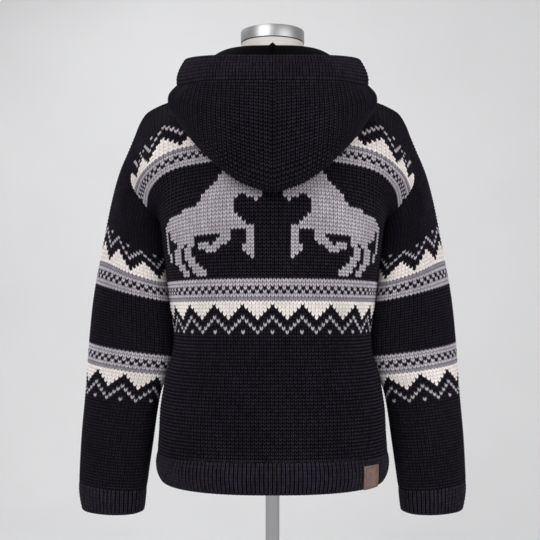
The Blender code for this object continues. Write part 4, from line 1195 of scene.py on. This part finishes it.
@dataclass
class Repeater:
    """A Geometry Nodes tree that sets one small box after another along a line."""

    name: str
    size: tuple[float, float, float]
    pitch: float
    sway: float
    material: bpy.types.Material

    def tree(self) -> bpy.types.NodeTree:
        """The tree: resample the line, sway every other point, place, round and colour."""
        tree = bpy.data.node_groups.new(self.name, "GeometryNodeTree")
        face = tree.interface
        face.new_socket("Line", in_out="INPUT", socket_type="NodeSocketGeometry")
        face.new_socket("Pitch", in_out="INPUT", socket_type="NodeSocketFloat")
        face.new_socket("Sway", in_out="INPUT", socket_type="NodeSocketFloat")
        face.new_socket("Size", in_out="INPUT", socket_type="NodeSocketVector")
        face.new_socket("Made", in_out="OUTPUT", socket_type="NodeSocketGeometry")
        start = tree.nodes.new("NodeGroupInput")
        end = tree.nodes.new("NodeGroupOutput")
        curve = tree.nodes.new("GeometryNodeMeshToCurve")
        points = tree.nodes.new("GeometryNodeResampleCurve")
        points.mode = "LENGTH"
        tangent = tree.nodes.new("GeometryNodeInputTangent")
        align = tree.nodes.new("FunctionNodeAlignEulerToVector")
        align.axis = "Z"
        index = tree.nodes.new("GeometryNodeInputIndex")
        odd = tree.nodes.new("ShaderNodeMath")
        odd.operation = "MODULO"
        odd.inputs[1].default_value = 2.0
        centred = tree.nodes.new("ShaderNodeMath")
        centred.operation = "SUBTRACT"
        centred.inputs[1].default_value = 0.5
        shift = tree.nodes.new("ShaderNodeMath")
        shift.operation = "MULTIPLY"
        offset = tree.nodes.new("ShaderNodeCombineXYZ")
        move = tree.nodes.new("GeometryNodeSetPosition")
        box = tree.nodes.new("GeometryNodeMeshCube")
        soft = tree.nodes.new("GeometryNodeSubdivisionSurface")
        soft.inputs["Level"].default_value = 1
        soft.inputs["Edge Crease"].default_value = 0.55
        place = tree.nodes.new("GeometryNodeInstanceOnPoints")
        real = tree.nodes.new("GeometryNodeRealizeInstances")
        paint = tree.nodes.new("GeometryNodeSetMaterial")
        paint.inputs["Material"].default_value = self.material
        join = tree.links.new
        join(start.outputs["Line"], curve.inputs["Mesh"])
        join(curve.outputs[0], points.inputs["Curve"])
        join(start.outputs["Pitch"], points.inputs["Length"])
        join(index.outputs[0], odd.inputs[0])
        join(odd.outputs[0], centred.inputs[0])
        join(centred.outputs[0], shift.inputs[0])
        join(start.outputs["Sway"], shift.inputs[1])
        join(shift.outputs[0], offset.inputs[0])
        join(points.outputs[0], move.inputs["Geometry"])
        join(offset.outputs[0], move.inputs["Offset"])
        join(tangent.outputs[0], align.inputs["Vector"])
        join(start.outputs["Size"], box.inputs["Size"])
        join(box.outputs["Mesh"], soft.inputs["Mesh"])
        join(move.outputs[0], place.inputs["Points"])
        join(soft.outputs[0], place.inputs["Instance"])
        join(align.outputs[0], place.inputs["Rotation"])
        join(place.outputs[0], real.inputs[0])
        join(real.outputs[0], paint.inputs["Geometry"])
        join(paint.outputs[0], end.inputs[0])
        return tree

    def along(self, points: Grid, closed: bool = False) -> bpy.types.Object:
        """The pieces along a chain of points, as a plain mesh object."""
        line = bpy.data.meshes.new(self.name + "_line")
        edges = [(k, k + 1) for k in range(len(points) - 1)]
        if closed:
            edges.append((len(points) - 1, 0))
        line.from_pydata([tuple(map(float, p)) for p in points], edges, [])
        guide = placed(self.name + "_guide", line)
        step = guide.modifiers.new(self.name, "NODES")
        step.node_group = self.tree()
        values = {"Pitch": self.pitch, "Sway": self.sway, "Size": self.size}
        for socket in step.node_group.interface.items_tree:
            if socket.name in values:
                step[socket.identifier] = values[socket.name]
        ready = guide.evaluated_get(bpy.context.evaluated_depsgraph_get())
        mesh = bpy.data.meshes.new_from_object(ready)
        mesh.name = self.name
        bpy.data.objects.remove(guide)
        smooth(mesh)
        return placed(self.name, mesh)


@dataclass
class Label:
    """The bare leather patch on the hem rib, with its border of stitches."""

    leather: bpy.types.Material
    thread: bpy.types.Material
    ribs: Ribs
    left: float = -0.1445
    right: float = -0.1690
    low: float = 0.04
    high: float = 2.42
    count: int = 14
    depth: float = 0.0016
    out: float = 0.0011
    border_inset: float = 0.0028
    stitch: tuple[float, float, float] = (0.0006, 0.0006, 0.0020)
    stitch_pitch: float = 0.0031

    def grid(self, inset: float, lift: float) -> Grid:
        """Points of the patch: rows by columns, inset from its edge and lifted off the rib."""
        rows = mirrored(self.ribs.hem_rows())
        behind = []
        spread = np.linspace(self.left - inset, self.right + inset, self.count)
        for row in rows:
            part = row[row[:, 1] > 0]
            order = np.argsort(part[:, 0])
            part = part[order]
            behind.append(np.stack([np.interp(spread, part[:, 0], part[:, k])
                                    for k in range(3)], axis=1))
        rise = inset / HEM_ROW_HEIGHT
        at = np.linspace(self.low + rise, self.high - rise, self.count)
        points = spline(np.arange(4), np.array(behind), at)
        out = facing(points, np.array(HEM_CENTRE))
        return points + lift * out

    def build(self) -> None:
        """Make the patch as a closed plate, and its stitches."""
        outer = self.grid(0.0, self.out + self.depth)
        inner = self.grid(0.0, self.out)
        form = bmesh.new()
        layers = [[[form.verts.new(p) for p in row] for row in grid] for grid in (outer, inner)]
        last = self.count - 1
        for layer in layers:
            for r in range(last):
                for c in range(last):
                    form.faces.new((layer[r][c], layer[r][c + 1], layer[r + 1][c + 1],
                                    layer[r + 1][c]))
        ring = [(0, c) for c in range(last)] + [(r, last) for r in range(last)]
        ring += [(last, c) for c in range(last, 0, -1)] + [(r, 0) for r in range(last, 0, -1)]
        for (a, b), (c, d) in zip(ring, ring[1:] + ring[:1]):
            form.faces.new((layers[0][a][b], layers[0][c][d], layers[1][c][d], layers[1][a][b]))
        bmesh.ops.recalc_face_normals(form, faces=form.faces)
        mesh = mesh_of("label_patch", form)
        item = placed("label_patch", mesh)
        mesh.materials.append(self.leather)
        declare(item, ["label"])
        border = self.grid(self.border_inset, self.out + self.depth + 0.0002)
        chain = np.array([border[a, b] for a, b in ring])
        maker = Repeater("label_stitches", self.stitch, self.stitch_pitch, 0.0, self.thread)
        stitches = maker.along(chain, closed=True)
        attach(stitches, "jacket_and_form")


@dataclass
class Zip:
    """The zip down the front: tapes, slider and pull tab keep their solids, teeth are added."""

    tape: bpy.types.Material
    steel: bpy.types.Material
    tooth: tuple[float, float, float] = (0.0032, 0.0018, 0.0013)
    pitch: float = 0.0026
    sway: float = 0.0012

    def line(self) -> Grid:
        """The teeth's line, from the hem's foot to the neck."""
        rows = body_table(True)[1]
        low = [quarter(section, True)[0] for section in HEM_SECTIONS[:0:-1]]
        points = np.concatenate([np.array(low), rows[:, 0]])[:-1]
        points = even_chain(points, 200)
        points[:, 1] += WALL - 0.0002
        return points

    def build(self) -> None:
        """Dress the solids and lay the teeth."""
        for node in ("zip_tape_left", "zip_tape_right"):
            dress_solid(node, self.tape)
        for node in ("zip_slider", "zip_pull"):
            dress_solid(node, self.steel)
        teeth = Repeater("zip_teeth", self.tooth, self.pitch, self.sway, self.steel)
        item = teeth.along(self.line())
        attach(item, "jacket_and_form")
        LOG.info("zip_teeth: %d faces", len(item.data.polygons))


def dress_solid(node: str, material: bpy.types.Material) -> None:
    """Give a kept solid its detailed material."""
    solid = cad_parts[node]
    solid.data.materials.clear()
    solid.data.materials.append(material)


@dataclass
class DressForm:
    """The limbless form, its cap, and the pole and base it stands on."""

    linen: bpy.types.Material
    cap: bpy.types.Material
    steel: bpy.types.Material
    columns: int = 128
    rows: int = 150

    def torso(self) -> bpy.types.Object:
        """The smooth torso with its neck."""
        table = np.array(FORM_SECTIONS)
        heights = np.linspace(FORM_BOTTOM, NECK_TOP, self.rows)
        values = spline(table[:, 0], table[:, 1:], heights)
        angle = np.linspace(0, 2 * math.pi, self.columns + 1)[:-1]
        s, c = np.sin(angle)[None, :], np.cos(angle)[None, :]
        width, back, fore, square = (values[:, k:k + 1] for k in range(4))
        x = width * np.sign(s) * np.abs(s) ** (2 / square)
        y = np.where(c >= 0, back, fore) * np.sign(c) * np.abs(c) ** (2 / square)
        z = np.repeat(heights[:, None], self.columns, axis=1)
        points = np.stack([x, y, z], axis=-1)
        form = bmesh.new()
        grid = [[form.verts.new(p) for p in row] for row in points]
        for low, high in zip(grid, grid[1:]):
            for k in range(self.columns):
                n = (k + 1) % self.columns
                form.faces.new((low[k], low[n], high[n], high[k]))
        form.faces.new(grid[0][::-1])
        form.faces.new(grid[-1])
        bmesh.ops.recalc_face_normals(form, faces=form.faces)
        mesh = mesh_of("form_torso", form)
        smooth(mesh)
        mesh.set_sharp_from_angle(angle=math.radians(50))
        return placed("form_torso", mesh)

    def build(self) -> None:
        """Make the torso, the cap, the pole and the base."""
        item = self.torso()
        item.data.materials.append(self.linen)
        declare(item, ["form_body"])
        cap = [(CAP_RADIUS - 0.0012, NECK_TOP + CLEARANCE), (CAP_RADIUS, NECK_TOP + 0.0016),
               (CAP_RADIUS, CAP_TOP - 0.0020), (CAP_RADIUS - 0.0008, CAP_TOP - 0.0006),
               (CAP_RADIUS - 0.0024, CAP_TOP)]
        top = FORM_BOTTOM - CLEARANCE
        pole = [(POLE_RADIUS, HUB_TOP + CLEARANCE), (POLE_RADIUS, top - 0.020),
                (POLE_RADIUS + 0.004, top - 0.010), (FLANGE_RADIUS, top - 0.006),
                (FLANGE_RADIUS, top)]
        edge = BASE_ROUNDING
        plate = [(BASE_RADIUS - edge, 0.0), (BASE_RADIUS, edge),
                 (BASE_RADIUS, BASE_THICKNESS - edge), (BASE_RADIUS - edge, BASE_THICKNESS),
                 (HUB_RADIUS + 0.004, BASE_THICKNESS + 0.001),
                 (HUB_RADIUS, BASE_THICKNESS + 0.006), (HUB_RADIUS, HUB_TOP - edge),
                 (HUB_RADIUS - edge, HUB_TOP)]
        for name, profile, node, material in (("cap_disc", cap, "neck_cap", self.cap),
                                              ("pole_tube", pole, "pole", self.steel),
                                              ("base_disc", plate, "base_plate", self.steel)):
            item = turned(name, profile)
            item.data.materials.append(material)
            declare(item, [node])


# Lights: name, place, aim, size and power
LIGHTS = (
    ("key", (1.6, 2.6, 3.0), (0, 0, 1.15), 2.4, 66.0),
    ("fill", (-2.2, 2.2, 2.0), (0, 0, 1.1), 2.4, 41.0),
    ("front", (0.8, -1.4, 3.4), (0, -0.6, 0.6), 2.6, 24.0),
)


@dataclass
class Studio:
    """The camera at the photo's place, a pale sweep and soft lights."""

    eye: tuple[float, float, float] = (0.0, 1.51, 1.11)
    view: float = math.radians(34.2)
    shift: float = 2.5 / 540
    near: float = 4.0
    foot: float = -2.2
    bend: float = 1.2
    height: float = 4.5
    half_width: float = 5.0
    bend_steps: int = 12
    ambient: float = 0.37

    def camera(self) -> None:
        """Aim the camera level along the jacket's back."""
        lens = bpy.data.cameras.new("camera")
        lens.sensor_width = 36.0
        lens.lens = 18.0 / math.tan(self.view / 2)
        lens.shift_x = -self.shift
        lens.clip_start = 0.05
        item = bpy.data.objects.new("camera", lens)
        item.location = self.eye
        item.rotation_euler = (math.radians(90), 0, math.radians(180))
        bpy.context.scene.collection.objects.link(item)
        bpy.context.scene.camera = item

    def light(self, name: str, place: tuple, aim: tuple, size: float, power: float) -> None:
        """One soft square light."""
        lamp = bpy.data.lights.new(name, "AREA")
        lamp.size = size
        lamp.energy = power
        item = bpy.data.objects.new(name, lamp)
        item.location = place
        item.rotation_euler = (Vector(aim) - Vector(place)).to_track_quat("-Z", "Y").to_euler()
        bpy.context.scene.collection.objects.link(item)

    def sweep(self) -> None:
        """A pale floor that curves up behind."""
        form = bmesh.new()
        depth = [(self.near, 0.0), (self.foot, 0.0)]
        for k in range(1, self.bend_steps + 1):
            angle = math.pi / 2 * k / self.bend_steps
            depth.append((self.foot - self.bend * math.sin(angle),
                          self.bend - self.bend * math.cos(angle)))
        depth.append((self.foot - self.bend, self.height))
        edges = (-self.half_width, self.half_width)
        rows = [[form.verts.new((x, y, z)) for x in edges] for y, z in depth]
        for low, high in zip(rows, rows[1:]):
            form.faces.new((low[0], low[1], high[1], high[0]))
        mesh = mesh_of("sweep", form)
        smooth(mesh)
        item = placed("sweep", mesh)
        kit = Nodes("sweep_paint")
        shade = kit.ramp(kit.noise(2.0, 2.0),
                         [(0.3, (0.90, 0.90, 0.91)), (0.7, (0.93, 0.93, 0.94))])
        kit.join(shade, kit.shader.inputs["Base Color"])
        kit.surface(Roughness=0.95)
        mesh.materials.append(kit.material)

    def build(self) -> None:
        """Set up the whole studio."""
        self.camera()
        self.sweep()
        for lamp in LIGHTS:
            self.light(*lamp)
        bpy.context.scene.view_settings.view_transform = "Standard"
        world = bpy.data.worlds.new("studio")
        world.use_nodes = True
        sky = world.node_tree.nodes["Background"]
        sky.inputs["Color"].default_value = (1, 1, 1, 1)
        sky.inputs["Strength"].default_value = self.ambient
        bpy.context.scene.world = world


def both_sides(*folds: Crease) -> tuple[Crease, ...]:
    """The folds and their likes on the other side, a little softer."""
    made = []
    for fold in folds:
        made.append(fold)
        first = (-fold.start[0], fold.start[1], fold.start[2])
        last = (-fold.end[0], fold.end[1], fold.end[2])
        made.append(Crease(first, last, fold.width * 1.05, fold.depth * 0.95))
    return tuple(made)


# Creases as listed: ends, width and depth
BODY_CREASES = both_sides(
    Crease((0.185, 0.018, 1.230), (0.161, 0.020, 0.925), 0.030, 0.0042),
    Crease((0.185, 0.075, 1.235), (0.135, 0.125, 1.120), 0.011, -0.0016),
    Crease((0.172, 0.095, 1.215), (0.110, 0.140, 1.060), 0.013, 0.0012),
    Crease((0.160, 0.095, 0.985), (0.080, 0.145, 0.935), 0.012, -0.0012),
    Crease((0.172, 0.070, 0.868), (0.060, 0.147, 0.842), 0.011, 0.0014),
    Crease((0.150, 0.110, 0.900), (0.020, 0.150, 0.885), 0.013, -0.0010),
    Crease((0.172, -0.090, 1.200), (0.120, -0.140, 1.060), 0.013, -0.0014),
    Crease((0.150, -0.110, 0.960), (0.060, -0.140, 0.905), 0.013, 0.0012),
)
SLEEVE_CREASES = both_sides(
    Crease((0.191, 0.014, 1.220), (0.176, 0.016, 0.930), 0.032, 0.0052),
    Crease((0.205, 0.055, 1.165), (0.262, 0.048, 1.205), 0.010, -0.0018),
    Crease((0.195, 0.056, 1.105), (0.270, 0.040, 1.150), 0.011, 0.0014),
    Crease((0.186, 0.052, 1.000), (0.262, 0.046, 0.965), 0.011, -0.0016),
    Crease((0.200, 0.046, 0.935), (0.280, 0.036, 0.975), 0.012, 0.0014),
    Crease((0.300, -0.002, 1.020), (0.250, 0.050, 0.940), 0.010, -0.0012),
    Crease((0.225, 0.034, 0.800), (0.290, 0.024, 0.822), 0.010, 0.0012),
    Crease((0.250, -0.052, 1.000), (0.305, -0.040, 0.960), 0.011, -0.0014),
)
HOOD_CREASES = both_sides(
    Crease((0.020, 0.197, 1.385), (0.050, 0.188, 1.290), 0.012, 0.0012),
    Crease((0.085, 0.184, 1.395), (0.070, 0.180, 1.300), 0.012, -0.0014),
    Crease((0.130, 0.145, 1.400), (0.150, 0.130, 1.365), 0.010, 0.0014),
)


def main() -> None:
    """Build the jacket, the form and the studio in order."""
    logging.basicConfig(level=logging.INFO, format="%(name)s %(message)s")
    wool = WoolFinish().material()
    steel = SteelFinish("steel", (168, 168, 170)).material()
    # The brim and rib wool paint shade into their rib grooves
    brim_wool = WoolFinish("brim_wool", groove_shade=0.35, rows=0.6).material()
    rib_wool = WoolFinish("rib_wool", groove_shade=0.8, rows=0.35).material()
    ribs = Ribs(rib_wool)
    body = Body(wool, BODY_CREASES)
    Studio().build()
    body.build()
    Sleeves(wool, body, SLEEVE_CREASES).build()
    Hood(wool, brim_wool, HOOD_CREASES).build()
    ribs.build()
    thread = WovenFinish("thread", (86, 66, 60), 0.0009).material()
    Label(LeatherFinish().material(), thread, ribs).build()
    Zip(WovenFinish("tape", (34, 33, 38), 0.0008).material(), steel).build()
    linen = WovenFinish("linen", (232, 224, 219), 0.0011, slub=0.05).material()
    cap = SteelFinish("cap_metal", (186, 186, 187), 0.42).material()
    DressForm(linen, cap, steel).build()


if __name__ == "__main__":
    main()
